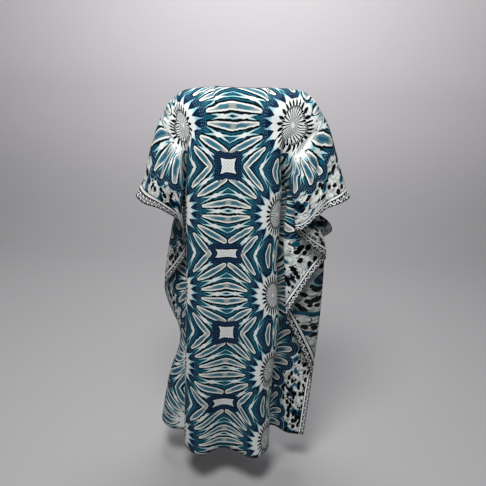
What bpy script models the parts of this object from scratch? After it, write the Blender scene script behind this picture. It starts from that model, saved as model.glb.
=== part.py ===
"""Grand boubou robe: two wide panels of cloth, sewn at the shoulders and down both sides.

Each panel is one wall of cloth that runs from the tip of one sleeve, across the body, to the tip of the other.
The wall is a grid: its columns run from the left tip to the right tip and its rows run from the shoulder line
down to the hem.  Beyond the side seam the cloth is a wing that hangs in folds from the arm.
Metres, +Z up, the wearer faces -Y, and the origin lies between the shoulders, where the robe is held.
"""

from collections import namedtuple

import bmesh
import bpy
import numpy as np

# Driving sizes
WALL = 0.002
SEAM_GAP = 0.0003
CLOTH_HALF_WIDTH = 0.61
SEAM_FROM_CENTRE = 0.26
FOLDS_END_ON_RIDGE = 0.30
ARMHOLE_DEPTH = 0.30
HEM_DEPTH = 1.39
NECK_HALF_WIDTH = 0.09

# Roundings of the cloth
FOLD_RADIUS = 0.012
SETTLE_DEPTH = 0.13
TOP_FADE = 0.25
FOLDS_START = 0.30
FOLDS_FULL = 0.48
FLATTEN_BELOW_CORNER = 0.10
FOLD_CROWDING = 0.6
WIDEST_MITRE = 3.0

# Grid of each panel
BODY_STEPS = 26
NECK_STEPS = 5
FALL_STEPS = 6
LAYER_STEPS = 5
SLEEVE_STEPS = 8
SECTION_COUNT = 140

# Depth of each grid row below the shoulders, on the side seam
ROW_DEPTHS = np.array([
    0.0, 0.006, 0.018, 0.036, 0.06, 0.09, 0.125, 0.16, 0.20, 0.25, 0.30, 0.35, 0.40, 0.45, 0.51, 0.57,
    0.64, 0.73, 0.80, 0.87, 0.94, 1.02, 1.11, 1.18, 1.25, 1.32, HEM_DEPTH])

# Shoulder and arm line of each side, from the centre to the sleeve tip:
# out, height, depth over which the cloth rounds over the line
RIDGES = {
    "left": (
        (0.0, 0.010, 0.085), (0.09, 0.009, 0.085), (0.122, 0.006, 0.090), (0.198, -0.008, 0.105),
        (0.226, -0.028, 0.125), (0.2535, -0.059, 0.145), (0.2825, -0.114, 0.165), (0.306, -0.180, 0.175),
        (0.3245, -0.250, 0.175), (0.3375, -0.307, 0.170), (0.374, -0.380, 0.170)),
    "right": (
        (0.0, 0.010, 0.085), (0.09, 0.012, 0.085), (0.155, 0.012, 0.095), (0.210, 0.004, 0.110),
        (0.240, -0.013, 0.125), (0.278, -0.058, 0.145), (0.311, -0.111, 0.165), (0.337, -0.176, 0.175),
        (0.366, -0.254, 0.175), (0.397, -0.328, 0.170), (0.413, -0.351, 0.170)),
}

# Side seams: depth, out, back (distance behind the mid plane)
SEAMS = {
    "left": ((0.12, 0.183, 0.0), (0.18, 0.176, 0.0), (0.25, 0.166, 0.020), (0.32, 0.162, 0.020),
             (0.50, 0.160, 0.020), (0.85, 0.162, 0.020), (1.11, 0.162, 0.030), (1.39, 0.160, 0.045)),
    "right": ((0.12, 0.176, 0.0), (0.18, 0.147, 0.0), (0.25, 0.140, 0.020), (0.32, 0.136, 0.020),
              (0.50, 0.138, 0.020), (0.85, 0.155, 0.020), (1.11, 0.148, 0.018), (1.39, 0.145, 0.018)),
}

# Above the side seam the two panels part for the arm: depth, distance of the panel from the mid plane
ARMHOLES = {
    "back": ((0.12, 0.100), (0.18, 0.095), (0.25, 0.064), (0.30, 0.022)),
    "front": ((0.12, 0.098), (0.18, 0.090), (0.25, 0.034), (0.30, -0.018)),
}

# Body sections: depth, then (out, away) of right edge, right crest, middle, left crest, left edge
BODIES = {
    "back": (
        (0.12, (0.147, 0.105), (0.092, 0.111), (0.000, 0.109), (0.092, 0.111), (0.154, 0.105)),
        (0.20, (0.139, 0.107), (0.092, 0.119), (0.000, 0.117), (0.094, 0.119), (0.170, 0.107)),
        (0.35, (0.154, 0.090), (0.104, 0.125), (0.000, 0.123), (0.110, 0.125), (0.178, 0.090)),
        (0.60, (0.156, 0.085), (0.105, 0.128), (0.000, 0.124), (0.110, 0.128), (0.176, 0.085)),
        (0.87, (0.178, 0.088), (0.115, 0.145), (0.010, 0.138), (0.115, 0.145), (0.178, 0.088)),
        (1.12, (0.166, 0.095), (0.112, 0.168), (0.020, 0.138), (0.113, 0.168), (0.180, 0.098)),
        (1.39, (0.170, 0.118), (0.124, 0.186), (0.022, 0.140), (0.112, 0.188), (0.178, 0.120))),
    "front": (
        (0.12, (0.148, 0.103), (0.090, 0.110), (0.000, 0.109), (0.090, 0.110), (0.152, 0.103)),
        (0.20, (0.146, 0.108), (0.090, 0.128), (0.000, 0.123), (0.090, 0.128), (0.163, 0.106)),
        (0.30, (0.150, 0.090), (0.092, 0.138), (0.000, 0.131), (0.092, 0.138), (0.168, 0.090)),
        (0.50, (0.150, 0.070), (0.092, 0.128), (0.000, 0.122), (0.094, 0.128), (0.166, 0.070)),
        (0.80, (0.160, 0.062), (0.096, 0.122), (0.000, 0.113), (0.098, 0.122), (0.164, 0.062)),
        (1.11, (0.158, 0.066), (0.102, 0.132), (-0.010, 0.106), (0.102, 0.130), (0.162, 0.060)),
        (1.39, (0.160, 0.072), (0.108, 0.146), (-0.012, 0.100), (0.106, 0.142), (0.160, 0.052))),
}

NECKLINES = {
    # away of the edge at the centre, height of the edge at the centre
    "back": (0.066, 0.006),
    "front": (0.088, -0.078),
}
NECK_SQUARENESS = 0.6

Wing = namedtuple("Wing", "face side corner_row hang folds corners fall cuff swell")

# hang: inner fold line under the arm, from the shoulder to the cuff corner: depth, out, away
# folds: depth, then (out, away) of each fold between the fall and the hang line, outer and inner in turn
# corners: depth where the border leaves each of those folds, the hang line last
# fall: depth, then (out, away) of two or three points between the seam and the first fold
# cuff: share of the way from the hang line to the sleeve tip, depth of the border
# swell: share of that way, how far the sleeve stands away against the hang line
WINGS = (
    Wing(
        face="back", side="right", corner_row=22,
        hang=((0.12, 0.214, 0.089), (0.17, 0.194, 0.100), (0.22, 0.180, 0.113), (0.30, 0.180, 0.126),
              (0.36, 0.196, 0.130), (0.454, 0.208, 0.130)),
        folds=(
            (0.42, (0.290, 0.034), (0.172, 0.062), (0.290, 0.092)),
            (0.56, (0.333, 0.038), (0.180, 0.066), (0.330, 0.096)),
            (0.72, (0.340, 0.040), (0.196, 0.072), (0.330, 0.100)),
            (0.81, (0.341, 0.040), (0.205, 0.078), (0.330, 0.100)),
            (1.11, (0.333, 0.048), (0.220, 0.080), (0.330, 0.100)),
            (1.39, (0.322, 0.045), (0.220, 0.080), (0.330, 0.100))),
        corners=(1.11, 0.812, 0.561, 0.454),
        fall=(
            (0.42, (0.185, 0.012), (0.235, 0.014)),
            (0.81, (0.205, 0.000), (0.265, 0.010)),
            (1.11, (0.195, -0.010), (0.262, 0.020)),
            (1.39, (0.188, -0.008), (0.255, 0.037))),
        cuff=((0.0, 0.454), (0.11, 0.446), (0.32, 0.404), (0.49, 0.376), (0.71, 0.361), (1.0, 0.351)),
        swell=((0.0, 1.0), (0.08, 1.07), (0.35, 1.02), (0.55, 0.86), (0.68, 0.88), (1.0, 0.60))),
    Wing(
        face="back", side="left", corner_row=17,
        hang=((0.12, 0.206, 0.089), (0.19, 0.190, 0.110), (0.30, 0.186, 0.122), (0.40, 0.187, 0.106),
              (0.46, 0.188, 0.082), (0.59, 0.184, 0.048)),
        folds=(
            (0.44, (0.228, 0.036),),
            (0.60, (0.255, 0.030),),
            (0.73, (0.268, 0.026),),
            (0.80, (0.261, 0.000),),
            (0.89, (0.245, -0.050),),
            (1.00, (0.227, -0.120),),
            (1.11, (0.220, -0.155),),
            (1.39, (0.200, -0.195),)),
        corners=(0.73, 0.59),
        fall=(
            (0.44, (0.180, 0.014), (0.198, 0.016), (0.214, 0.024)),
            (0.73, (0.185, 0.004), (0.210, 0.000), (0.240, 0.008)),
            (0.89, (0.188, -0.002), (0.208, -0.014), (0.230, -0.030)),
            (1.00, (0.196, 0.004), (0.214, -0.030), (0.222, -0.075)),
            (1.18, (0.230, 0.016), (0.264, -0.030), (0.256, -0.100)),
            (1.39, (0.262, 0.030), (0.298, -0.025), (0.270, -0.120))),
        cuff=((0.0, 0.590), (0.05, 0.470), (0.12, 0.441), (0.30, 0.417), (0.50, 0.399), (0.75, 0.394),
              (1.0, 0.380)),
        swell=((0.0, 1.0), (0.10, 1.10), (0.35, 1.05), (0.70, 0.90), (1.0, 0.62))),
    Wing(
        face="front", side="right", corner_row=14,
        hang=((0.12, 0.206, 0.091), (0.19, 0.174, 0.114), (0.30, 0.172, 0.130), (0.46, 0.200, 0.140)),
        folds=(
            (0.40, (0.300, 0.050),),
            (0.51, (0.377, 0.078),),
            (0.545, (0.339, 0.090),),
            (0.65, (0.290, 0.108),),
            (0.85, (0.275, 0.122),),
            (1.11, (0.285, 0.132),),
            (1.39, (0.300, 0.124),)),
        corners=(0.51, 0.46),
        fall=(
            (0.40, (0.180, 0.010), (0.240, 0.022)),
            (0.56, (0.190, 0.024), (0.260, 0.045)),
            (0.81, (0.188, 0.040), (0.240, 0.080)),
            (1.11, (0.186, 0.050), (0.240, 0.094)),
            (1.39, (0.186, 0.048), (0.244, 0.086))),
        cuff=((0.0, 0.460), (0.30, 0.445), (0.60, 0.410), (1.0, 0.351)),
        swell=((0.0, 1.0), (0.10, 1.05), (0.45, 0.95), (1.0, 0.60))),
    Wing(
        face="front", side="left", corner_row=16,
        hang=((0.12, 0.206, 0.091), (0.19, 0.190, 0.112), (0.30, 0.184, 0.126), (0.47, 0.178, 0.122)),
        folds=(
            (0.42, (0.226, 0.045),),
            (0.64, (0.236, 0.062),),
            (0.80, (0.205, 0.112),),
            (1.11, (0.175, 0.150),),
            (1.39, (0.155, 0.172),)),
        corners=(0.64, 0.47),
        fall=(
            (0.42, (0.180, 0.006), (0.197, 0.012), (0.212, 0.026)),
            (0.64, (0.184, 0.012), (0.204, 0.022), (0.222, 0.040)),
            (0.80, (0.186, 0.018), (0.202, 0.042), (0.210, 0.078)),
            (1.11, (0.190, 0.014), (0.210, 0.060), (0.202, 0.115)),
            (1.39, (0.206, -0.010), (0.232, 0.045), (0.208, 0.125))),
        cuff=((0.0, 0.470), (0.30, 0.440), (0.60, 0.415), (1.0, 0.380)),
        swell=((0.0, 1.0), (0.10, 1.08), (0.45, 1.0), (1.0, 0.62))),
)

CLOTH_COLOURS = {
    "back_panel": (0.10, 0.22, 0.30, 1.0),
    "front_panel": (0.12, 0.26, 0.34, 1.0),
    "back_left_wing": (0.05, 0.12, 0.22, 1.0),
    "back_right_wing": (0.06, 0.14, 0.24, 1.0),
    "front_left_wing": (0.20, 0.24, 0.26, 1.0),
    "front_right_wing": (0.22, 0.26, 0.28, 1.0),
}


def ease(x):
    """Smooth step from 0 to 1."""
    x = np.clip(x, 0.0, 1.0)
    return x * x * (3.0 - 2.0 * x)


def quarter_round(x):
    """Quarter circle from 0 to 1, flat at 1."""
    x = np.clip(x, 0.0, 1.0)
    return np.sqrt(1.0 - (1.0 - x) ** 2)


def mix(a, b, share):
    return a + (b - a) * share


def read_curve(knots, values, at):
    """Monotone cubic through the knots, held constant past both ends."""
    knots = np.asarray(knots, float)
    values = np.asarray(values, float)
    at = np.clip(at, knots[0], knots[-1])
    steps = np.diff(knots)
    slopes = np.diff(values) / steps
    tangents = np.zeros_like(values)
    same_way = slopes[:-1] * slopes[1:] > 0.0
    with np.errstate(divide="ignore", invalid="ignore"):
        harmonic = 2.0 / (1.0 / slopes[:-1] + 1.0 / slopes[1:])
    tangents[1:-1] = np.where(same_way, harmonic, 0.0)
    tangents[0] = slopes[0]
    tangents[-1] = slopes[-1]
    cell = np.clip(np.searchsorted(knots, at, side="right") - 1, 0, len(steps) - 1)
    width = steps[cell]
    u = (at - knots[cell]) / width
    return ((2 * u**3 - 3 * u**2 + 1) * values[cell] + (u**3 - 2 * u**2 + u) * width * tangents[cell]
            + (3 * u**2 - 2 * u**3) * values[cell + 1] + (u**3 - u**2) * width * tangents[cell + 1])


def read_table(rows, column, at):
    """Value of one column of a table, whose first column is the depth or share."""
    return read_curve([row[0] for row in rows], [row[column] for row in rows], at)


def read_pair(rows, column, at):
    """(out, away) of one paired column of a table."""
    knots = [row[0] for row in rows]
    out = read_curve(knots, [row[column][0] for row in rows], at)
    away = read_curve(knots, [row[column][1] for row in rows], at)
    return np.array([out, away])


def smooth_path(points, samples=12):
    """Smooth curve through plan points, as a dense polyline with the sample index of each point."""
    points = np.asarray(points, float)
    chords = np.linalg.norm(np.diff(points, axis=0), axis=1) + 1e-9
    ways = np.diff(points, axis=0) / chords[:, None]
    tangents = np.empty_like(points)
    before = chords[:-1, None]
    after = chords[1:, None]
    tangents[1:-1] = (ways[:-1] * after + ways[1:] * before) / (before + after)
    tangents[0] = ways[0]
    tangents[-1] = ways[-1]
    u = np.linspace(0.0, 1.0, samples, endpoint=False)[:, None]
    runs = []
    for k, chord in enumerate(chords):
        runs.append((2 * u**3 - 3 * u**2 + 1) * points[k] + (u**3 - 2 * u**2 + u) * chord * tangents[k]
                    + (3 * u**2 - 2 * u**3) * points[k + 1] + (u**3 - u**2) * chord * tangents[k + 1])
    return np.vstack(runs + [points[-1:]]), np.arange(len(points)) * samples


def space_out(polyline, shares):
    """Points at the given shares of a polyline's length."""
    lengths = np.concatenate([[0.0], np.cumsum(np.linalg.norm(np.diff(polyline, axis=0), axis=1))])
    at = np.asarray(shares) * lengths[-1]
    return np.column_stack([np.interp(at, lengths, polyline[:, k]) for k in range(2)])


def crowded(steps):
    """Shares from 0 to 1 that lie closer together at both ends, where a layer turns round a fold."""
    even = np.linspace(0.0, 1.0, steps + 1)
    return even - FOLD_CROWDING * np.sin(2.0 * np.pi * even) / (2.0 * np.pi)


def ridge_point(side, from_centre):
    """Out, height and rounding depth of the shoulder line at a distance along the flat cloth."""
    ridge = np.array(RIDGES[side])
    steps = np.linalg.norm(np.diff(ridge[:, :2], axis=0), axis=1)
    lengths = np.concatenate([[0.0], np.cumsum(steps)])
    at = np.asarray(from_centre) / CLOTH_HALF_WIDTH * lengths[-1]
    return [read_curve(lengths, ridge[:, column], at) for column in range(3)]


def seam_point(face, side, depth):
    """(out, away) of one panel's stitch line; the panels part above the seam."""
    out = read_table(SEAMS[side], 1, depth)
    facing = 1.0 if face == "back" else -1.0
    sewn = facing * read_table(SEAMS[side], 2, depth) + WALL / 2 + SEAM_GAP
    parted = read_table(ARMHOLES[face], 1, depth)
    return np.array([out, np.where(depth < ARMHOLE_DEPTH, parted, sewn)])


def hang_from_ridge(top_out, top_height, rounding, top_away, depth, out, away):
    """Place a hanging point: it leaves the shoulder line roundly and settles on its section."""
    below = top_height + depth
    placed_out = mix(top_out, out, ease(below / SETTLE_DEPTH))
    placed_away = mix(top_away, away, quarter_round(below / rounding))
    return placed_out, placed_away


def row_depths(top_height):
    """Depths of the grid rows below a point of the shoulder line."""
    return ROW_DEPTHS - top_height * np.clip(1.0 - ROW_DEPTHS / TOP_FADE, 0.0, 1.0) ** 2


def body_grid(face):
    """Grid of the panel between its two stitch lines, from the left one to the right one."""
    depths = np.linspace(0.0, HEM_DEPTH, SECTION_COUNT)
    sections = np.empty((SECTION_COUNT, BODY_STEPS + 1, 2))
    for k, depth in enumerate(depths):
        right = seam_point(face, "right", depth) * (-1.0, 1.0)
        left = seam_point(face, "left", depth)
        inner = [read_pair(BODIES[face], column, depth) for column in range(1, 6)]
        signs = ((-1.0, 1.0), (-1.0, 1.0), (1.0, 1.0), (1.0, 1.0), (1.0, 1.0))
        ring = [right] + [point * sign for point, sign in zip(inner, signs)] + [left]
        path, _ = smooth_path(ring[::-1])
        sections[k] = space_out(path, np.linspace(0.0, 1.0, BODY_STEPS + 1))
    grid = np.empty((len(ROW_DEPTHS), BODY_STEPS + 1, 3))
    middle = BODY_STEPS // 2
    for column in range(BODY_STEPS + 1):
        side = "left" if column <= middle else "right"
        outward = 1.0 if side == "left" else -1.0
        top_out, top_height, rounding, top_away = panel_top(face, side, abs(column - middle))
        depth = row_depths(top_height)
        out = np.interp(depth, depths, sections[:, column, 0])
        away = np.interp(depth, depths, sections[:, column, 1])
        x, y = hang_from_ridge(outward * top_out, top_height, rounding, top_away, depth, out, away)
        grid[:, column] = np.column_stack([x, y, -depth])
    return grid


def panel_top(face, side, steps_out):
    """Top of a body column: on the neckline near the centre, on the shoulder line further out."""
    if steps_out >= NECK_STEPS:
        share = (steps_out - NECK_STEPS) / (BODY_STEPS // 2 - NECK_STEPS)
        out, height, rounding = ridge_point(side, mix(NECK_HALF_WIDTH, SEAM_FROM_CENTRE, share))
        return out, height, rounding, SEAM_GAP / 2
    edge_out, edge_height, rounding = ridge_point(side, NECK_HALF_WIDTH)
    angle = np.pi / 2 * steps_out / NECK_STEPS
    centre_away, centre_height = NECKLINES[face]
    out = edge_out * np.sin(angle)
    away = mix(SEAM_GAP / 2, centre_away, np.cos(angle) ** NECK_SQUARENESS)
    height = mix(edge_height, centre_height, np.cos(angle) ** 1.5)
    return out, height, rounding, away


def fold_path(wing, depth):
    """Plan path of a wing at one depth: seam, fall, then the folds, as layers between fold tips."""
    seam = seam_point(wing.face, wing.side, depth)
    fall = [read_pair(wing.fall, column, depth) for column in range(1, len(wing.fall[0]))]
    tips = [read_pair(wing.folds, column, depth) for column in range(1, len(wing.folds[0]))]
    tips.append(np.array([read_table(wing.hang, 1, depth), read_table(wing.hang, 2, depth)]))
    first_turn = tips[0] - (FOLD_RADIUS, FOLD_RADIUS)
    run_out = mix(fall[-1], tips[0], 0.6)
    flat = ease((depth - ROW_DEPTHS[wing.corner_row]) / FLATTEN_BELOW_CORNER)
    points = [seam] + fall + [mix(first_turn, run_out, flat), tips[0]]
    marks = [len(points) - 1]
    for k in range(1, len(tips)):
        outer = 1.0 if k % 2 else -1.0
        turn = min(FOLD_RADIUS, 0.4 * (tips[k][1] - tips[k - 1][1]))
        points.append(tips[k - 1] + (-outer * turn, turn))
        points.append(tips[k] + (outer * turn, -turn))
        points.append(tips[k])
        marks.append(len(points) - 1)
    return points, marks


def armhole_path(seam, hang, columns):
    """Plan path of the cloth under the arm: it leaves the body sideways and turns up to the hang line."""
    u = np.linspace(0.0, 1.0, columns)[:, None]
    bay = np.array([hang[0], seam[1]])
    return (1.0 - u) ** 2 * seam + 2.0 * u * (1.0 - u) * bay + u**2 * hang


def wing_sections(wing):
    """Plan sections of a wing's folded cloth at even depths."""
    layers = len(wing.corners) - 1
    depths = np.linspace(0.0, HEM_DEPTH, SECTION_COUNT)
    columns = FALL_STEPS + layers * LAYER_STEPS + 1
    sections = np.empty((SECTION_COUNT, columns, 2))
    for k, depth in enumerate(depths):
        points, marks = fold_path(wing, depth)
        path, index = smooth_path(points)
        cuts = [0] + [index[mark] for mark in marks]
        folded = []
        for layer, (start, stop) in enumerate(zip(cuts[:-1], cuts[1:])):
            steps = FALL_STEPS if layer == 0 else LAYER_STEPS
            shares = crowded(steps)[0 if layer == 0 else 1:]
            folded.append(space_out(path[start:stop + 1], shares))
        folded = np.vstack(folded)
        hung = armhole_path(folded[0], folded[-1], columns)
        openness = ease((depth - FOLDS_START) / (FOLDS_FULL - FOLDS_START))
        sections[k] = mix(hung, folded, openness)
    return depths, sections


def border_depths(wing):
    """Depth of the lower end of each folded column, above the corner row."""
    ends = [np.full(FALL_STEPS + 1, ROW_DEPTHS[wing.corner_row])]
    for start, stop in zip(wing.corners[:-1], wing.corners[1:]):
        ends.append(mix(start, stop, crowded(LAYER_STEPS)[1:]))
    return np.concatenate(ends)


def wing_grid(wing):
    """Grid of one wing from the stitch line to the sleeve tip; unused cells hold NaN."""
    depths, sections = wing_sections(wing)
    ends = border_depths(wing)
    folded_count = len(ends)
    rows = len(ROW_DEPTHS)
    corner = wing.corner_row
    grid = np.full((rows, folded_count + SLEEVE_STEPS, 3), np.nan)
    for column in range(folded_count):
        share = column / (folded_count - 1)
        on_cloth = mix(SEAM_FROM_CENTRE, FOLDS_END_ON_RIDGE, share)
        top_out, top_height, rounding = ridge_point(wing.side, on_cloth)
        depth = row_depths(top_height)
        if column > FALL_STEPS:
            depth = depth[:corner + 1]
            below = np.clip((depth - TOP_FADE) / (depth[-1] - TOP_FADE), 0.0, 1.0)
            depth = np.where(depth < TOP_FADE, depth, mix(TOP_FADE, ends[column], below))
        out = np.interp(depth, depths, sections[:, column, 0])
        away = np.interp(depth, depths, sections[:, column, 1])
        x, y = hang_from_ridge(top_out, top_height, rounding, SEAM_GAP / 2, depth, out, away)
        grid[:len(depth), column] = np.column_stack([x, y, -depth])
    add_sleeve(wing, grid, folded_count)
    return grid


def add_sleeve(wing, grid, folded_count):
    """Fill the sleeve's columns, from the hang line out to the tip of the arm line."""
    corner = wing.corner_row
    hang = grid[:corner + 1, folded_count - 1]
    down = (hang[0, 2] - hang[:, 2]) / (hang[0, 2] - hang[-1, 2])
    straight = mix(hang[0, 0], hang[-1, 0], down)
    tip_out, tip_height, _ = ridge_point(wing.side, CLOTH_HALF_WIDTH)
    for step in range(1, SLEEVE_STEPS + 1):
        share = step / SLEEVE_STEPS
        on_cloth = mix(FOLDS_END_ON_RIDGE, CLOTH_HALF_WIDTH, share)
        top_out, top_height, rounding = ridge_point(wing.side, on_cloth)
        end_depth = read_table(wing.cuff, 1, share)
        end_out = mix(hang[-1, 0], tip_out, share)
        depth = mix(-top_height, end_depth, down)
        bow = (hang[:, 0] - straight) * (1.0 - share) ** 2
        x = mix(top_out, end_out, down) + bow
        swelled = read_table(wing.hang, 2, depth) * read_table(wing.swell, 1, share)
        y = mix(SEAM_GAP / 2, swelled, quarter_round((depth + top_height) / rounding))
        grid[:corner + 1, folded_count + step - 1] = np.column_stack([x, y, -depth])


def panel_grid(face):
    """The whole panel as one grid, and the columns of its two stitch lines."""
    wings = {wing.side: wing_grid(wing) for wing in WINGS if wing.face == face}
    body = body_grid(face)
    right = wings["right"] * (-1.0, 1.0, 1.0)
    left = wings["left"][:, ::-1]
    grid = np.concatenate([left[:, :-1], body, right[:, 1:]], axis=1)
    if face == "front":
        grid[:, :, 1] *= -1.0
    left_seam = left.shape[1] - 1
    return grid, left_seam, left_seam + BODY_STEPS


def unit(vectors):
    lengths = np.linalg.norm(vectors, axis=-1, keepdims=True)
    return vectors / np.maximum(lengths, 1e-12)


def strip_normals(grid, face):
    """Unit normals of the cloth just left and just right of each column, level at the shoulder line."""
    rows, columns = grid.shape[:2]
    across = np.cross(grid[1:, 1:] - grid[:-1, :-1], grid[1:, :-1] - grid[:-1, 1:])
    cells = unit(np.nan_to_num(across if face == "front" else -across))
    strips = np.zeros((rows, columns - 1, 3))
    strips[:-1] += cells
    strips[1:] += cells
    for tip in (0, -1):
        strips[:, tip] = cells[:, tip].sum(axis=0) * (1.0, 0.0, 1.0)
    left = np.concatenate([strips[:, :1], strips], axis=1)
    right = np.concatenate([strips, strips[:, -1:]], axis=1)
    for beside, other in ((left, right), (right, left)):
        empty = np.linalg.norm(beside, axis=2) < 1e-9
        beside[empty] = other[empty]
        beside[0, np.abs(grid[0, :, 1]) < SEAM_GAP, 1] = 0.0
    return unit(left), unit(right)


def wall_faces(grid, face):
    """Outer and inner face of the cloth and its normals; a face is mitred where the cloth turns towards it."""
    left, right = strip_normals(grid, face)
    middle = unit(left + right)
    reach = 1.0 / np.maximum(np.sum(middle * left, axis=2, keepdims=True), 1.0 / WIDEST_MITRE)
    turn = np.zeros_like(grid)
    turn[:, 1:-1] = unit(grid[:, 2:] - grid[:, 1:-1]) + unit(grid[:, :-2] - grid[:, 1:-1])
    turns_out = np.sum(np.nan_to_num(turn) * middle, axis=2, keepdims=True) > 0.0
    outer = grid + middle * WALL / 2 * np.where(turns_out, reach, 1.0)
    inner = grid - middle * WALL / 2 * np.where(turns_out, 1.0, reach)
    return outer, inner, middle


def draw_back(points, grid, normals, edge, inside):
    """Move the seam edge of a piece back by half the gap, square to the plane that the two pieces share."""
    step = grid[:, inside] - grid[:, edge]
    normal = normals[:, edge]
    step = unit(step - normal * np.sum(step * normal, axis=1, keepdims=True))
    points[:, edge] += step * SEAM_GAP / 2


def build_wall(name, outer, inner, face, collection):
    """Closed wall of cloth between an outer and an inner grid of points."""
    rows, columns = outer.shape[:2]
    mesh = bpy.data.meshes.new(name)
    work = bmesh.new()
    skins = []
    for points in (outer, inner):
        skin = {}
        for row in range(rows):
            for column in range(columns):
                if not np.isnan(points[row, column, 0]):
                    skin[row, column] = work.verts.new(points[row, column])
        skins.append(skin)
    cells = [[(row, column), (row, column + 1), (row + 1, column + 1), (row + 1, column)]
             for row in range(rows - 1) for column in range(columns - 1)]
    cells = [cell for cell in cells if all(corner in skins[0] for corner in cell)]
    edges = {(cell[k], cell[(k + 1) % 4]) for cell in cells for k in range(4)}
    for cell in cells:
        work.faces.new([skins[0][corner] for corner in cell])
        work.faces.new([skins[1][corner] for corner in reversed(cell)])
    for start, stop in sorted(edges):
        if (stop, start) not in edges:
            work.faces.new([skins[0][stop], skins[0][start], skins[1][start], skins[1][stop]])
    bmesh.ops.remove_doubles(work, verts=work.verts, dist=1e-6)
    if face == "back":
        bmesh.ops.reverse_faces(work, faces=work.faces)
    bmesh.ops.triangulate(work, faces=work.faces)
    work.to_mesh(mesh)
    work.free()
    mesh.shade_smooth()
    wall = bpy.data.objects.new(name, mesh)
    wall.data.materials.append(cloth_material(name))
    collection.objects.link(wall)
    return wall


def cloth_material(name):
    material = bpy.data.materials.new(name + "_cloth")
    material.use_nodes = True
    shader = material.node_tree.nodes["Principled BSDF"]
    shader.inputs["Base Color"].default_value = CLOTH_COLOURS[name]
    shader.inputs["Roughness"].default_value = 0.62
    shader.inputs["Metallic"].default_value = 0.0
    return material


def build_panel(face, collection):
    """The two wings and the body of one panel."""
    grid, left_seam, right_seam = panel_grid(face)
    outer, inner, normals = wall_faces(grid, face)
    last = grid.shape[1] - 1
    pieces = ((f"{face}_left_wing", 0, left_seam), (f"{face}_panel", left_seam, right_seam),
              (f"{face}_right_wing", right_seam, last))
    for name, first, stop in pieces:
        faces = []
        for points in (outer, inner):
            points = points.copy()
            if first > 0:
                draw_back(points, grid, normals, first, first + 1)
            if stop < last:
                draw_back(points, grid, normals, stop, stop - 1)
            faces.append(points[:, first:stop + 1])
        build_wall(name, *faces, face, collection)


def main():
    for item in list(bpy.data.objects):
        bpy.data.objects.remove(item)
    collection = bpy.data.collections.new("grand_boubou")
    bpy.context.scene.collection.children.link(collection)
    for face in ("back", "front"):
        build_panel(face, collection)


main()
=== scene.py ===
"""Grand boubou robe, dressed: the printed cloth of both panels, its rolled edges, the stage and the lights.

Each panel is one sheet of printed cotton.  Its grid of points is placed as the solids place their wall, with
finer steps, and every point also keeps its place on the flat cloth: s, the distance from the centre line, and
t, the distance down from the shoulder line.  The print, borders and stitching are worked out from s and t.
Metres, +Z up, the wearer faces -Y, and the origin lies between the shoulders.
"""

import functools
from collections import namedtuple

import bmesh
import bpy
import numpy as np
from mathutils import Matrix, Vector


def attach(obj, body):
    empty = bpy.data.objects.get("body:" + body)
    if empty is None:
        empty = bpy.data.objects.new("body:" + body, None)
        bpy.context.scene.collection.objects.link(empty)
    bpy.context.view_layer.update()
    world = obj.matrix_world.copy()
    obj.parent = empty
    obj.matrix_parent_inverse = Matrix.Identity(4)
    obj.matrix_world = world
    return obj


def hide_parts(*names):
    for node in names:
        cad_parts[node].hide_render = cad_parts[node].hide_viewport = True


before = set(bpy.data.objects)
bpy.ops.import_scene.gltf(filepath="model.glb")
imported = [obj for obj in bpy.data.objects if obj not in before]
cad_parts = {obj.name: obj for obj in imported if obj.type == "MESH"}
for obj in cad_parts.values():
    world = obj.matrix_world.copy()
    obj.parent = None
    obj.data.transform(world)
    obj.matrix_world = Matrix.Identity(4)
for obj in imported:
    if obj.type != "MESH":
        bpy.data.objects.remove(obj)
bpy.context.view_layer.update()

# Driving sizes, as in the solids
SEAM_GAP = 0.0003
WALL = 0.002
CLOTH_HALF_WIDTH = 0.61
SEAM_FROM_CENTRE = 0.26
FOLDS_END_ON_RIDGE = 0.30
ARMHOLE_DEPTH = 0.30
HEM_DEPTH = 1.39
NECK_HALF_WIDTH = 0.09
RIGHT_ANGLE = np.pi / 2
SIGN = {"left": 1.0, "right": -1.0, "back": 1.0, "front": -1.0}

# Roundings of the cloth
FOLD_RADIUS = 0.012
SETTLE_DEPTH = 0.13
TOP_FADE = 0.25
FOLDS_START = 0.30
FOLDS_FULL = 0.48
FLATTEN_BELOW_CORNER = 0.10
FOLD_CROWDING = 0.6
RUN_OUT = 0.6
TURN_SHARE = 0.4

# The thin cloth itself
CLOTH_THICKNESS = 0.0011
MERGE_DISTANCE = 1e-6
EDGE_RADIUS = 0.0013
EDGE_ROUNDING = 2
NECK_EDGE_RADIUS = 0.0022
SHOULDER_WRAP = 0.06
WRAP_DEPTH = 0.20
TURNED_OVER = 0.10
HEM_ON_CLOTH = HEM_DEPTH + SHOULDER_WRAP

# How the flat cloth lies on the robe: cloth between the centre and the stitch line by depth; share of it by
# which the right half of the print is drawn in, by depth; how far the cloth slips down over the end of the
# shoulder; the cloth tucked in beside the left armhole, and the depths over which that ends; and how many
# times faster s leaves the stitch line than t does
SEAM_PLACES = (
    (0.00, 0.320), (0.06, 0.285), (0.12, 0.255), (0.17, 0.238), (0.22, 0.265), (0.30, 0.325), (0.36, 0.335))
DRAWN_IN = ((0.22, 0.0), (0.45, 0.085), (0.80, 0.105), (1.39, 0.15))
SHOULDER_DROP = 0.024
LEFT_TUCK = 0.065
TUCK_FROM = 0.72
TUCK_ENDS = (0.10, 0.35)
S_HURRY = 3.0
SEAM_ON_CLOTH = 0.335
SEAM_TOP = 0.36

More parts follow.
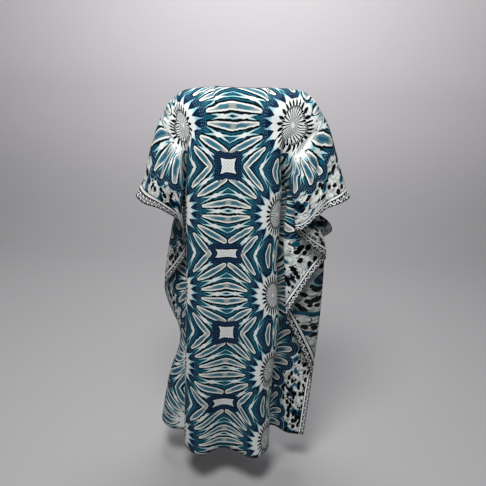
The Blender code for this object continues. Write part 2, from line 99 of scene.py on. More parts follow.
# Grid of each panel
ROW_SPLIT = 4
BODY_STEPS = 96
NECK_STEPS = 18
FALL_STEPS = 18
LAYER_STEPS = 16
SLEEVE_STEPS = 26
SECTION_COUNT = 280
PATH_SAMPLES = 12
CREASE_SAMPLES = 24
SECTION_DEPTHS = np.linspace(0.0, HEM_DEPTH, SECTION_COUNT)
COARSE_ROWS = np.array([
    0.0, 0.006, 0.018, 0.036, 0.06, 0.09, 0.125, 0.16, 0.20, 0.25, 0.30, 0.35, 0.40, 0.45, 0.51, 0.57,
    0.64, 0.73, 0.80, 0.87, 0.94, 1.02, 1.11, 1.18, 1.25, 1.32, HEM_DEPTH])
ROW_DEPTHS = np.interp(np.arange((len(COARSE_ROWS) - 1) * ROW_SPLIT + 1) / ROW_SPLIT,
                       np.arange(len(COARSE_ROWS)), COARSE_ROWS)

# Shoulder and arm line of each side, from the centre to the sleeve tip:
# out, height, depth over which the cloth rounds over the line
RIDGES = {
    "left": (
        (0.0, 0.010, 0.085), (0.09, 0.009, 0.085), (0.122, 0.006, 0.090), (0.198, -0.008, 0.105),
        (0.226, -0.028, 0.125), (0.2535, -0.059, 0.145), (0.2825, -0.114, 0.165), (0.306, -0.180, 0.175),
        (0.3245, -0.250, 0.175), (0.3375, -0.307, 0.170), (0.374, -0.380, 0.170)),
    "right": (
        (0.0, 0.010, 0.085), (0.09, 0.012, 0.085), (0.155, 0.012, 0.095), (0.210, 0.004, 0.110),
        (0.240, -0.013, 0.125), (0.278, -0.058, 0.145), (0.311, -0.111, 0.165), (0.337, -0.176, 0.175),
        (0.366, -0.254, 0.175), (0.397, -0.328, 0.170), (0.413, -0.351, 0.170)),
}

# Side seams: depth, out, back (distance behind the mid plane)
SEAMS = {
    "left": ((0.12, 0.183, 0.0), (0.18, 0.176, 0.0), (0.25, 0.166, 0.020), (0.32, 0.162, 0.020),
             (0.50, 0.160, 0.020), (0.85, 0.162, 0.020), (1.11, 0.162, 0.030), (1.39, 0.160, 0.045)),
    "right": ((0.12, 0.176, 0.0), (0.18, 0.147, 0.0), (0.25, 0.140, 0.020), (0.32, 0.136, 0.020),
              (0.50, 0.138, 0.020), (0.85, 0.155, 0.020), (1.11, 0.148, 0.018), (1.39, 0.145, 0.018)),
}

# Above the side seam the two panels part for the arm: depth, distance of the panel from the mid plane
ARMHOLES = {
    "back": ((0.12, 0.100), (0.18, 0.095), (0.25, 0.064), (0.30, 0.022)),
    "front": ((0.12, 0.098), (0.18, 0.090), (0.25, 0.034), (0.30, -0.018)),
}

# Body sections: depth, then (out, away) of right edge, right crest, middle, left crest, left edge
BODY_SIGNS = (-1.0, -1.0, 1.0, 1.0, 1.0)
BODIES = {
    "back": (
        (0.12, (0.147, 0.105), (0.092, 0.111), (0.000, 0.109), (0.092, 0.111), (0.154, 0.105)),
        (0.20, (0.139, 0.107), (0.092, 0.119), (0.000, 0.117), (0.094, 0.119), (0.170, 0.107)),
        (0.35, (0.154, 0.090), (0.104, 0.125), (0.000, 0.123), (0.110, 0.125), (0.178, 0.090)),
        (0.60, (0.156, 0.085), (0.105, 0.128), (0.000, 0.124), (0.110, 0.128), (0.176, 0.085)),
        (0.87, (0.178, 0.088), (0.115, 0.145), (0.010, 0.138), (0.115, 0.145), (0.178, 0.088)),
        (1.12, (0.166, 0.095), (0.112, 0.168), (0.020, 0.138), (0.113, 0.168), (0.180, 0.098)),
        (1.39, (0.170, 0.118), (0.124, 0.186), (0.022, 0.140), (0.112, 0.188), (0.178, 0.120))),
    "front": (
        (0.12, (0.148, 0.103), (0.090, 0.110), (0.000, 0.109), (0.090, 0.110), (0.152, 0.103)),
        (0.20, (0.146, 0.108), (0.090, 0.128), (0.000, 0.123), (0.090, 0.128), (0.163, 0.106)),
        (0.30, (0.150, 0.090), (0.092, 0.138), (0.000, 0.131), (0.092, 0.138), (0.168, 0.090)),
        (0.50, (0.150, 0.070), (0.092, 0.128), (0.000, 0.122), (0.094, 0.128), (0.166, 0.070)),
        (0.80, (0.160, 0.062), (0.096, 0.122), (0.000, 0.113), (0.098, 0.122), (0.164, 0.062)),
        (1.11, (0.158, 0.066), (0.102, 0.132), (-0.010, 0.106), (0.102, 0.130), (0.162, 0.060)),
        (1.39, (0.160, 0.072), (0.108, 0.146), (-0.012, 0.100), (0.106, 0.142), (0.160, 0.052))),
}

NECKLINES = {
    # away of the edge at the centre, height of the edge at the centre
    "back": (0.066, 0.006),
    "front": (0.088, -0.078),
}
NECK_SQUARENESS = 0.6
NECK_DIP = 1.5

Wing = namedtuple("Wing", "face side corner_row hang folds corners border fall cuff swell")

# hang: inner fold line under the arm, from the shoulder to the cuff corner: depth, out, away
# folds: depth, then (out, away) of each fold between the fall and the hang line, outer and inner in turn
# corners: depth where the border leaves each of those folds, the hang line last
# border: distance down the flat cloth's side edge at each of those corners
# fall: depth, then (out, away) of two or three points between the seam and the first fold
# cuff: share of the way from the hang line to the sleeve tip, depth of the border
# swell: share of that way, how far the sleeve stands away against the hang line
WINGS = (
    Wing(
        face="back", side="right", corner_row=22,
        hang=((0.12, 0.214, 0.089), (0.17, 0.194, 0.100), (0.22, 0.180, 0.113), (0.30, 0.180, 0.126),
              (0.36, 0.196, 0.130), (0.454, 0.208, 0.130)),
        folds=(
            (0.42, (0.290, 0.034), (0.172, 0.062), (0.290, 0.092)),
            (0.56, (0.333, 0.038), (0.180, 0.066), (0.330, 0.096)),
            (0.72, (0.340, 0.040), (0.196, 0.072), (0.330, 0.100)),
            (0.81, (0.341, 0.040), (0.205, 0.078), (0.330, 0.100)),
            (1.11, (0.333, 0.048), (0.220, 0.080), (0.330, 0.100)),
            (1.39, (0.322, 0.045), (0.220, 0.080), (0.330, 0.100))),
        corners=(1.11, 0.812, 0.561, 0.454),
        border=(1.15, 0.84, 0.47, 0.27),
        fall=(
            (0.42, (0.185, 0.012), (0.235, 0.014)),
            (0.81, (0.205, 0.000), (0.265, 0.010)),
            (1.11, (0.195, -0.010), (0.262, 0.020)),
            (1.39, (0.188, -0.008), (0.255, 0.037))),
        cuff=((0.0, 0.454), (0.11, 0.446), (0.32, 0.404), (0.49, 0.376), (0.71, 0.361), (1.0, 0.351)),
        swell=((0.0, 1.0), (0.08, 1.07), (0.35, 1.02), (0.55, 0.86), (0.68, 0.88), (1.0, 0.60))),
    Wing(
        face="back", side="left", corner_row=17,
        hang=((0.12, 0.206, 0.089), (0.19, 0.190, 0.110), (0.30, 0.186, 0.122), (0.40, 0.187, 0.106),
              (0.46, 0.188, 0.082), (0.59, 0.184, 0.048)),
        folds=((0.44, (0.228, 0.036)), (0.60, (0.255, 0.030)), (0.73, (0.268, 0.026)),
               (0.80, (0.261, 0.000)), (0.89, (0.245, -0.050)), (1.00, (0.227, -0.120)),
               (1.11, (0.220, -0.155)), (1.39, (0.200, -0.195))),
        corners=(0.73, 0.59),
        border=(0.68, 0.42),
        fall=(
            (0.44, (0.180, 0.014), (0.198, 0.016), (0.214, 0.024)),
            (0.73, (0.185, 0.004), (0.210, 0.000), (0.240, 0.008)),
            (0.89, (0.188, -0.002), (0.208, -0.014), (0.230, -0.030)),
            (1.00, (0.196, 0.004), (0.214, -0.030), (0.222, -0.075)),
            (1.18, (0.230, 0.016), (0.264, -0.030), (0.256, -0.100)),
            (1.39, (0.262, 0.030), (0.298, -0.025), (0.270, -0.120))),
        cuff=((0.0, 0.590), (0.05, 0.470), (0.12, 0.441), (0.30, 0.417), (0.50, 0.399), (0.75, 0.394),
              (1.0, 0.380)),
        swell=((0.0, 1.0), (0.10, 1.10), (0.35, 1.05), (0.70, 0.90), (1.0, 0.62))),
    Wing(
        face="front", side="right", corner_row=14,
        hang=((0.12, 0.206, 0.091), (0.19, 0.174, 0.114), (0.30, 0.172, 0.130), (0.46, 0.200, 0.140)),
        folds=((0.40, (0.300, 0.050)), (0.51, (0.377, 0.078)), (0.545, (0.339, 0.090)),
               (0.65, (0.290, 0.108)), (0.85, (0.275, 0.122)), (1.11, (0.285, 0.132)),
               (1.39, (0.300, 0.124))),
        corners=(0.51, 0.46),
        border=(0.47, 0.28),
        fall=(
            (0.40, (0.180, 0.010), (0.240, 0.022)),
            (0.56, (0.190, 0.024), (0.260, 0.045)),
            (0.81, (0.188, 0.040), (0.240, 0.080)),
            (1.11, (0.186, 0.050), (0.240, 0.094)),
            (1.39, (0.186, 0.048), (0.244, 0.086))),
        cuff=((0.0, 0.460), (0.30, 0.445), (0.60, 0.410), (1.0, 0.351)),
        swell=((0.0, 1.0), (0.10, 1.05), (0.45, 0.95), (1.0, 0.60))),
    Wing(
        face="front", side="left", corner_row=16,
        hang=((0.12, 0.206, 0.091), (0.19, 0.190, 0.112), (0.30, 0.184, 0.126), (0.47, 0.178, 0.122)),
        folds=((0.42, (0.226, 0.045)), (0.64, (0.236, 0.062)), (0.80, (0.205, 0.112)),
               (1.11, (0.175, 0.150)), (1.39, (0.155, 0.172))),
        corners=(0.64, 0.47),
        border=(0.53, 0.30),
        fall=(
            (0.42, (0.180, 0.006), (0.197, 0.012), (0.212, 0.026)),
            (0.64, (0.184, 0.012), (0.204, 0.022), (0.222, 0.040)),
            (0.80, (0.186, 0.018), (0.202, 0.042), (0.210, 0.078)),
            (1.11, (0.190, 0.014), (0.210, 0.060), (0.202, 0.115)),
            (1.39, (0.206, -0.010), (0.232, 0.045), (0.208, 0.125))),
        cuff=((0.0, 0.470), (0.30, 0.440), (0.60, 0.415), (1.0, 0.380)),
        swell=((0.0, 1.0), (0.10, 1.08), (0.45, 1.0), (1.0, 0.62))),
)

# Inner fold line under the arm, on the flat cloth: depth, distance beyond the stitch line, t
HANG_PLACES = (
    (0.00, 0.030, 0.000), (0.11, 0.045, 0.140), (0.19, 0.034, 0.215), (0.24, 0.030, 0.262),
    (0.30, 0.050, 0.300))

# Creases pressed or hung into each panel: points (s, t) on the flat cloth, height, half width
CREASES = {
    "back": (
        (((-0.34, 0.07), (-0.41, 0.10), (-0.45, 0.13), (-0.50, 0.15), (-0.56, 0.165)), -0.012, 0.012),
        (((-0.29, 0.12), (-0.35, 0.14), (-0.40, 0.165), (-0.47, 0.20), (-0.54, 0.225)), 0.008, 0.020),
        (((0.33, 0.10), (0.38, 0.105), (0.43, 0.125), (0.49, 0.155), (0.55, 0.185)), -0.010, 0.014),
        (((0.36, 0.20), (0.42, 0.22), (0.48, 0.25), (0.55, 0.28)), 0.006, 0.022),
    ),
    "front": (
        (((0.34, 0.08), (0.39, 0.10), (0.45, 0.13), (0.51, 0.15), (0.56, 0.16)), -0.011, 0.013),
        (((-0.33, 0.09), (-0.39, 0.105), (-0.45, 0.135), (-0.53, 0.16)), -0.011, 0.014),
    ),
}
CREASE_FADE = 4.0

# Camera: the robe is seen from behind and a little above
CAMERA_PLACE = (-0.028, 1.63, -0.015)
CAMERA_DOWN = 18.2
CAMERA_ROLL = 2.5
CAMERA_SENSOR = 36.0
CAMERA_LENS = 450.0 / 486.0 * CAMERA_SENSOR
CAMERA_NEAR = 0.01

# Stage and lights: name, place, aim, size, power, colour
FLOOR_HEIGHT = -1.555
STAGE_REACH = 9.0
SWEEP_STEPS = 24
SWEEP_TONE = 1.3
BACKDROP_AWAY = 2.6
BACKDROP_HEIGHT = 6.0
SWEEP_RADIUS = 1.6
STAGE_COLOUR = (0.72, 0.69, 0.71)
# The floor's colour is darker than the backdrop's as painted shade on the floor; up the sweep it fades into
# the backdrop colour.
SHADED_FLOOR_COLOUR = (0.36, 0.355, 0.36)
MOTTLE_COLOUR = (0.30, 0.30, 0.30)
MOTTLE_NOISE = (2.2, 5.0)
MOTTLE = 0.06
STAGE_ROUGHNESS = 0.85
WORLD_COLOUR = (0.92, 0.95, 1.0)
WORLD_STRENGTH = 0.15
LIGHTS = (
    ("key_light", (0.3, 1.25, 1.55), (0.0, 0.0, -0.15), 0.9, 74.0, (1.0, 1.0, 0.99)),
    ("fill_light", (-2.2, 2.4, 1.4), (0.0, 0.0, -0.4), 2.2, 11.0, (0.93, 0.96, 1.0)),
    ("backdrop_light", (0.0, -1.2, 3.6), (0.0, -3.6, 0.2), 2.4, 170.0, (1.0, 0.99, 1.0)),
)

# The print, on the flat cloth.  It mirrors about an axis near the centre line and about each sunburst row.
# A waver is how far uneven ink pushes an outline about, and a strength is how much of a colour covers the one
# under it.
FLAT_MAP = "flat_cloth"
PRINT_AXIS = 0.024
SUNBURST_OUT = 0.262
FIRST_ROW = 0.148
ROW_PITCH = 0.308
INK_BLEED = 0.003
WOBBLE = 0.005
FADING = 0.02
FADED_PATCH = (0.35, 0.80)

# Uneven ink: noise scale and detail
SHADE_NOISE = (60.0, 3.0)
BLEED_NOISE = (220.0, 2.0)
WOBBLE_NOISE = (46.0, 1.0)
FADING_NOISE = (7.0, 4.0)
TWIG_NOISE = (24.0, 1.0)
PATCH_NOISE = (17.0, 1.0)

# Dots in the dark grounds
DOTS_PER_METRE = 120.0
DOT_SIZE = 0.42

# Sunbursts: the middle, its halo of spikes, and its dashes and lines, by share of the middle's size
SUNBURST_HALF_WIDTH = 0.054
SUNBURST_HALF_HEIGHT = 0.072
HALO_EDGE = 1.22
HALO_WAVER = 0.16
SPIKE_BASE = 0.066
SPIKE_LENGTH = 0.060
SPIKE_HALF_WIDTH = 0.016
SPIKE_SHARPNESS = 1.6
SUNBURST_DASHES = 26.0
DASH_MIDDLE = 0.86
DASH_HALF_LENGTH = 0.28
DASH_FILL = 0.62
LINE_FILL = 0.58
LINES_FROM = 0.10
LINES_TO = 0.76

# Petals
PETAL_HALF_WIDTH = 0.0132
OUTER_HALF_WIDTH = 0.0165
PETAL_TIP = 0.008
NEAR_TAPER = 0.70
FAR_TAPER = 0.30
PETAL_WAVER = 0.0012
PETAL_OUTLINE = 0.0056
PALE_END = (0.40, 0.75)
PALE_END_STRENGTH = 0.85
PETAL_BRIDGE = (0.0052, 0.0195)
BRIDGE_STRENGTH = 0.8
RINGS_FROM = -0.013
RINGS_TO = 0.024
DOTS_FROM = 0.0105
DOTS_TO = 0.032
DOT_STRENGTH = 0.6

# Spokes of a sunburst in one quarter turn, in right angles from level: start of the spoke's share, its own
# angle, middle of its petal along it, half length of the petal
INNER_PETALS = (
    (0.000, 0.075, 0.262, 0.125),
    (0.160, 0.262, 0.203, 0.078),
    (0.360, 0.454, 0.182, 0.062),
    (0.680, 0.862, 0.150, 0.044),
)
OUTER_PETALS = (
    (0.000, 0.100, 0.150, 0.070),
    (0.230, 0.360, 0.148, 0.072),
    (0.490, 0.620, 0.150, 0.070),
    (0.750, 0.880, 0.152, 0.060),
)

# Crosses between the petals: start, angle, middle along it, half length
INNER_STARS = (
    (0.000, 0.000, 0.217, 0.085),
    (0.075, 0.165, 0.210, 0.078),
    (0.262, 0.362, 0.190, 0.066),
    (0.454, 0.620, 0.172, 0.062),
    (0.862, 1.000, 0.157, 0.040),
)
OUTER_STARS = (
    (0.000, 0.000, 0.150, 0.058),
    (0.100, 0.230, 0.146, 0.058),
    (0.360, 0.490, 0.150, 0.058),
    (0.620, 0.750, 0.150, 0.052),
    (0.880, 1.000, 0.155, 0.045),
)
STAR_SPREAD = 0.15
STAR_LINE_WIDTH = 0.0036
STAR_DARK_WIDTH = 0.0095
STAR_DARKNESS = 0.9
STAR_CORE = 0.0072
STAR_LENGTHENING = 0.45
STAR_CLEARANCE = 0.0045
GLOW_WIDTH = 0.021
GLOW_CORE = 1.3
GLOW_START = 1.5
GLOW_FALL = 1.2
GLOW_CLEARANCE = 0.0055
GLOW_STRENGTH = 0.75

# Lattice panels on the axis: half width and half height of each kind, by turns
ACROSS_SCALE = 1.38
SQUARE_MOTIF = (0.027, 0.0265)
FLAT_MOTIF = (0.041, 0.0165)
MOTIF_BAND = 0.023
MOTIF_WAVER = 0.014
MOTIF_WAIST = 0.80
MOTIF_FLARE = 0.20
MOTIF_FLARE_LIMIT = 1.2
MOTIF_OUTLINE = 0.003
MOTIF_DOTS_FROM = 0.005
MOTIF_DOT_STRENGTH = 0.25
LATTICE_PER_METRE = 95.0
LATTICE_LINE = 0.20
LATTICE_INSET = -0.004
LATTICE_STRENGTH = 0.8

# Scalloped dark edge round the outer petals
SCALLOP_REACH = 0.222
SCALLOP_DEPTH = 0.030
SCALLOP_HALF_WIDTH = 0.034
SCALLOP_BAND = 0.032
BAND_CLEARANCE = (0.004, 0.009)
RIM_INSET = -0.004
RIM_CLEARANCE = 0.007
RIM_STRENGTH = 0.8
FRINGE = 0.006

# Side ground: blotches, twigs, and where its patches of each colour set in
BLOTCHES_PER_METRE = 36.0
BLOTCH_SIZE = 0.46
BLOTCH_WAVER = 0.35
BLOTCH_SQUEEZE = 1.3
BARE_SHARE = 0.18
TWIG_WIDTH = 0.011
GREY_PATCH = (0.50, 0.58)
GREY_STRENGTH = 0.7
TEAL_PATCH = (0.56, 0.62)
NAVY_PATCH = (0.63, 0.69)

# Border: a line and a scroll along the cloth's side edges
BORDER_WIDTH = 0.0310
BORDER_LINE = 0.0245
BORDER_LINE_WIDTH = 0.0074
SCROLL_MIDDLE = 0.0095
SCROLL_HALF_WIDTH = 0.0085
SCROLL_PITCH = 0.036
SCROLL_SWING = 0.60
SCROLL_LINE = 0.34
CURL_OUT = 0.48
CURL_LENGTH = 1.6
CURL_SIZE = 0.30
HEM_DARK = 0.003

# Weave and stitching
THREADS = 2.0 * np.pi / 0.0009
WEAVE_HEIGHT = 0.00004
STITCH_INSET = 0.0085
STITCH_WIDTH = 0.0007
STITCH_PITCH = 0.0042
STITCH_SHARE = 0.72
STITCH_HEIGHT = 0.0003
SEAM_DIP = 0.0006
SEAM_DIP_WIDTH = 0.004

# Shader values: sheen, its roughness, specular level, least roughness of the right and wrong side, how much
# the ink's shade adds to it, and how far the wrong side is dulled
SHEEN = 0.01
SHEEN_ROUGHNESS = 0.40
SPECULAR = 0.03
FACE_ROUGHNESS = 0.54
REVERSE_ROUGHNESS = 0.72
SHADE_ROUGHNESS = 0.22
REVERSE_DULLING = 0.34
SHADE_DULLING = 0.2

# Rolled edge: its wear and roughness, each as gain and offset on its noise, and the twist of its thread
EDGE_BLACK = (0.006, 0.006, 0.008)
EDGE_WORN = (0.10, 0.10, 0.105)
EDGE_NOISE = (400.0, 2.0)
EDGE_WEAR = (1.6, -0.75)
EDGE_ROUGHNESS = (0.2, 0.55)
EDGE_SHEEN = 0.25
TWISTS_PER_METRE = 160.0
TWIST_DISTORTION = 1.5
TWIST_HEIGHT = 0.0003

# Inks, as linear colours
OFF_WHITE = (0.66, 0.69, 0.68)
WARM_GREY = (0.30, 0.31, 0.28)
MIST_BLUE = (0.16, 0.27, 0.34)
TEAL = (0.004, 0.100, 0.155)
PALE_TEAL = (0.060, 0.180, 0.225)
STEEL_BLUE = (0.018, 0.080, 0.135)
DEEP_CYAN = (0.006, 0.150, 0.225)
PALE_CYAN = (0.220, 0.490, 0.550)
BEIGE = (0.340, 0.335, 0.300)
PETROL = (0.002, 0.038, 0.076)
NAVY = (0.002, 0.014, 0.042)
CHARCOAL = (0.020, 0.022, 0.026)
BLACK = (0.0015, 0.0015, 0.003)
THREAD_COLOUR = (0.10, 0.11, 0.12)
BORDER_WHITE = (0.80, 0.82, 0.82)
REVERSE_GREY = (0.016, 0.016, 0.015)

# Colour rings round a petal, by distance out of its outline
PETAL_RINGS = (
    (-0.0130, STEEL_BLUE),
    (-0.0112, STEEL_BLUE),
    (-0.0100, PALE_TEAL),
    (-0.0072, PALE_TEAL),
    (-0.0062, PETROL),
    (-0.0053, WARM_GREY),
    (-0.0046, OFF_WHITE),
    (-0.0005, OFF_WHITE),
    (0.0003, BLACK),
    (0.0060, BLACK),
    (0.0076, TEAL),
    (0.0092, PETROL),
    (0.0115, NAVY),
    (0.0240, NAVY),
)

# Tints: share of a cross, or tenths of a metre from a sunburst's middle, and colour
STAR_TINT = ((0.12, OFF_WHITE), (0.60, PALE_CYAN))
SPIKE_TINT = ((0.85, OFF_WHITE), (1.00, PALE_CYAN))
TINTS_PER_METRE = 10.0

# Inputs of a colour Mix node
MIX_SHARE = 0
MIX_UNDER = 6
MIX_OVER = 7
MIX_RESULT = 2


def ease(x):
    """Smooth step from 0 to 1."""
    x = np.clip(x, 0.0, 1.0)
    return x * x * (3.0 - 2.0 * x)


def quarter_round(x):
    """Quarter circle from 0 to 1, flat at 1."""
    x = np.clip(x, 0.0, 1.0)
    return np.sqrt(1.0 - (1.0 - x) ** 2)


def mix(a, b, share):
    return a + (b - a) * share


def hermite(u, step, start, stop, leaving, arriving):
    """Cubic from start to stop, at share u of a step, with its slopes at both ends."""
    return ((2 * u**3 - 3 * u**2 + 1) * start + (u**3 - 2 * u**2 + u) * step * leaving
            + (3 * u**2 - 2 * u**3) * stop + (u**3 - u**2) * step * arriving)


def read_curve(knots, values, at):
    """Monotone cubic through the knots, held constant past both ends."""
    knots = np.asarray(knots, float)
    values = np.asarray(values, float)
    at = np.clip(at, knots[0], knots[-1])
    steps = np.diff(knots)
    slopes = np.diff(values) / steps
    same_way = slopes[:-1] * slopes[1:] > 0.0
    with np.errstate(divide="ignore", invalid="ignore"):
        harmonic = 2.0 / (1.0 / slopes[:-1] + 1.0 / slopes[1:])
    tangents = np.concatenate([slopes[:1], np.where(same_way, harmonic, 0.0), slopes[-1:]])
    cell = np.clip(np.searchsorted(knots, at, side="right") - 1, 0, len(steps) - 1)
    share = (at - knots[cell]) / steps[cell]
    return hermite(share, steps[cell], values[cell], values[cell + 1], tangents[cell], tangents[cell + 1])


def read_table(rows, column, at):
    """Value of one column of a table, whose first column is the depth or share."""
    return read_curve([row[0] for row in rows], [row[column] for row in rows], at)


def read_pairs(rows, at):
    """(out, away) of each paired column of a table."""
    knots = [row[0] for row in rows]
    return [np.array([read_curve(knots, values, at) for values in zip(*pairs)])
            for pairs in list(zip(*rows))[1:]]


def smooth_path(points, samples=PATH_SAMPLES):
    """Smooth curve through plan points, as a dense polyline with the sample index of each point."""
    points = np.asarray(points, float)
    chords = np.linalg.norm(np.diff(points, axis=0), axis=1) + 1e-9
    ways = np.diff(points, axis=0) / chords[:, None]
    before = chords[:-1, None]
    after = chords[1:, None]
    turned = (ways[:-1] * after + ways[1:] * before) / (before + after)
    tangents = np.vstack([ways[:1], turned, ways[-1:]])
    u = np.linspace(0.0, 1.0, samples, endpoint=False)[:, None]
    runs = [hermite(u, chord, points[k], points[k + 1], tangents[k], tangents[k + 1])
            for k, chord in enumerate(chords)]
    return np.vstack(runs + [points[-1:]]), np.arange(len(points)) * samples


def lengths_along(points):
    """Distance along a polyline to each of its points."""
    steps = np.linalg.norm(np.diff(points, axis=0), axis=1)
    return np.concatenate([[0.0], np.cumsum(steps)])


def walked(column):
    """Share of a column's length at each of its points."""
    lengths = lengths_along(column)
    return lengths / max(lengths[-1], 1e-9)


def space_out(polyline, shares):
    """Points at the given shares of a polyline's length."""
    lengths = lengths_along(polyline)
    at = np.asarray(shares) * lengths[-1]
    return np.column_stack([np.interp(at, lengths, polyline[:, k]) for k in range(2)])


def crowded(steps):
    """Shares from 0 to 1 that lie closer together at both ends, where a layer turns round a fold."""
    even = np.linspace(0.0, 1.0, steps + 1)
    return even - FOLD_CROWDING * np.sin(2.0 * np.pi * even) / (2.0 * np.pi)


def ridge_point(side, from_centre):
    """Out, height and rounding depth of the shoulder line at a distance along the flat cloth."""
    ridge = np.array(RIDGES[side])
    lengths = lengths_along(ridge[:, :2])
    at = np.asarray(from_centre) / CLOTH_HALF_WIDTH * lengths[-1]
    return [read_curve(lengths, ridge[:, column], at) for column in range(3)]


def seam_point(face, side, depth):
    """(out, away) of one panel's stitch line; the panels part above the seam."""
    out = read_table(SEAMS[side], 1, depth)
    sewn = SIGN[face] * read_table(SEAMS[side], 2, depth) + WALL / 2 + SEAM_GAP
    parted = read_table(ARMHOLES[face], 1, depth)
    return np.array([out, np.where(depth < ARMHOLE_DEPTH, parted, sewn)])


def row_depths(top_height):
    """Depths of the grid rows below a point of the shoulder line."""
    return ROW_DEPTHS - top_height * np.clip(1.0 - ROW_DEPTHS / TOP_FADE, 0.0, 1.0) ** 2


def hang_column(top, depth, section):
    """Points of a hanging column: it leaves the shoulder line roundly and settles on its sections."""
    top_out, top_height, rounding, top_away = top
    below = top_height + depth
    out = np.interp(depth, SECTION_DEPTHS, section[:, 0])
    away = np.interp(depth, SECTION_DEPTHS, section[:, 1])
    x = mix(top_out, out, ease(below / SETTLE_DEPTH))
    y = mix(top_away, away, quarter_round(below / rounding))
    return np.column_stack([x, y, -depth])


def body_sections(face):
    """Plan sections of the panel between its stitch lines, from the left one to the right one."""
    sections = []
    for depth in SECTION_DEPTHS:
        inner = [pair * (sign, 1.0) for pair, sign in zip(read_pairs(BODIES[face], depth), BODY_SIGNS)]
        ring = [seam_point(face, "right", depth) * (-1.0, 1.0), *inner, seam_point(face, "left", depth)]
        path, _ = smooth_path(ring[::-1])
        sections.append(space_out(path, np.linspace(0.0, 1.0, BODY_STEPS + 1)))
    return np.array(sections)


def panel_top(face, side, steps_out):
    """Top of a body column: out, height, rounding and away, and the cloth cut away above it for the neck."""
    if steps_out >= NECK_STEPS:
        share = (steps_out - NECK_STEPS) / (BODY_STEPS // 2 - NECK_STEPS)
        return *ridge_point(side, mix(NECK_HALF_WIDTH, SEAM_FROM_CENTRE, share)), SEAM_GAP / 2, 0.0
    edge_out, edge_height, rounding = ridge_point(side, NECK_HALF_WIDTH)
    angle = RIGHT_ANGLE * steps_out / NECK_STEPS
    centre_away, centre_height = NECKLINES[face]
    away = mix(SEAM_GAP / 2, centre_away, np.cos(angle) ** NECK_SQUARENESS)
    height = mix(edge_height, centre_height, np.cos(angle) ** NECK_DIP)
    return edge_out * np.sin(angle), height, rounding, away, np.hypot(away, edge_height - height)


def body_grid(face):
    """Grid of the panel between its two stitch lines, from left to right, and its flat places."""
    sections = body_sections(face)
    grid = np.empty((len(ROW_DEPTHS), BODY_STEPS + 1, 3))
    cut_away = np.empty(BODY_STEPS + 1)
    middle = BODY_STEPS // 2
    for column in range(BODY_STEPS + 1):
        side = "left" if column <= middle else "right"
        top_out, height, rounding, away, cut_away[column] = panel_top(face, side, abs(column - middle))
        top = SIGN[side] * top_out, height, rounding, away
        grid[:, column] = hang_column(top, row_depths(height), sections[:, column])
    return grid, body_flat(grid, cut_away)


def fold_path(wing, depth):
    """Plan path of a wing at one depth: seam, fall, then the folds, as layers between fold tips."""
    fall = read_pairs(wing.fall, depth)
    tips = read_pairs(wing.folds, depth)
    tips.append(np.array([read_table(wing.hang, 1, depth), read_table(wing.hang, 2, depth)]))
    first_turn = tips[0] - (FOLD_RADIUS, FOLD_RADIUS)
    run_out = mix(fall[-1], tips[0], RUN_OUT)
    flat = ease((depth - COARSE_ROWS[wing.corner_row]) / FLATTEN_BELOW_CORNER)
    points = [seam_point(wing.face, wing.side, depth), *fall, mix(first_turn, run_out, flat), tips[0]]
    marks = [len(points) - 1]
    for k in range(1, len(tips)):
        outer = 1.0 if k % 2 else -1.0
        turn = min(FOLD_RADIUS, TURN_SHARE * (tips[k][1] - tips[k - 1][1]))
        points += [tips[k - 1] + (-outer * turn, turn), tips[k] + (outer * turn, -turn), tips[k]]
        marks.append(len(points) - 1)
    return points, marks


def armhole_path(seam, hang, columns):
    """Plan path of the cloth under the arm: it leaves the body sideways and turns up to the hang line."""
    u = np.linspace(0.0, 1.0, columns)[:, None]
    bay = np.array([hang[0], seam[1]])
    return (1.0 - u) ** 2 * seam + 2.0 * u * (1.0 - u) * bay + u**2 * hang


def wing_sections(wing):
    """Plan sections of a wing's cloth: hung from the arm above, folded below."""
    sections = []
    for depth in SECTION_DEPTHS:
        points, marks = fold_path(wing, depth)
        path, index = smooth_path(points)
        cuts = [0, *index[marks]]
        layers = [space_out(path[:cuts[1] + 1], crowded(FALL_STEPS))]
        for start, stop in zip(cuts[1:-1], cuts[2:]):
            layers.append(space_out(path[start:stop + 1], crowded(LAYER_STEPS)[1:]))
        folded = np.vstack(layers)
        hung = armhole_path(folded[0], folded[-1], len(folded))
        openness = ease((depth - FOLDS_START) / (FOLDS_FULL - FOLDS_START))
        sections.append(mix(hung, folded, openness))
    return np.array(sections)


def fold_ends(first, ends):
    """Value at the lower end of each folded column: the first one along the fall, then from fold to fold."""
    values = [np.full(FALL_STEPS + 1, first)]
    for start, stop in zip(ends[:-1], ends[1:]):
        values.append(mix(start, stop, crowded(LAYER_STEPS)[1:]))
    return np.concatenate(values)


def wing_grid(wing):
    """Grid of one wing from the stitch line to the sleeve tip; unused cells hold NaN."""
    sections = wing_sections(wing)
    ends = fold_ends(COARSE_ROWS[wing.corner_row], wing.corners)
    corner = wing.corner_row * ROW_SPLIT
    grid = np.full((len(ROW_DEPTHS), len(ends) + SLEEVE_STEPS, 3), np.nan)
    for column, end in enumerate(ends):
        on_cloth = mix(SEAM_FROM_CENTRE, FOLDS_END_ON_RIDGE, column / (len(ends) - 1))
        top = *ridge_point(wing.side, on_cloth), SEAM_GAP / 2
        depth = row_depths(top[1])
        if column > FALL_STEPS:
            depth = depth[:corner + 1]
            below = np.clip((depth - TOP_FADE) / (depth[-1] - TOP_FADE), 0.0, 1.0)
            depth = np.where(depth < TOP_FADE, depth, mix(TOP_FADE, end, below))
        grid[:len(depth), column] = hang_column(top, depth, sections[:, column])
    add_sleeve(wing, grid, len(ends))
    return grid


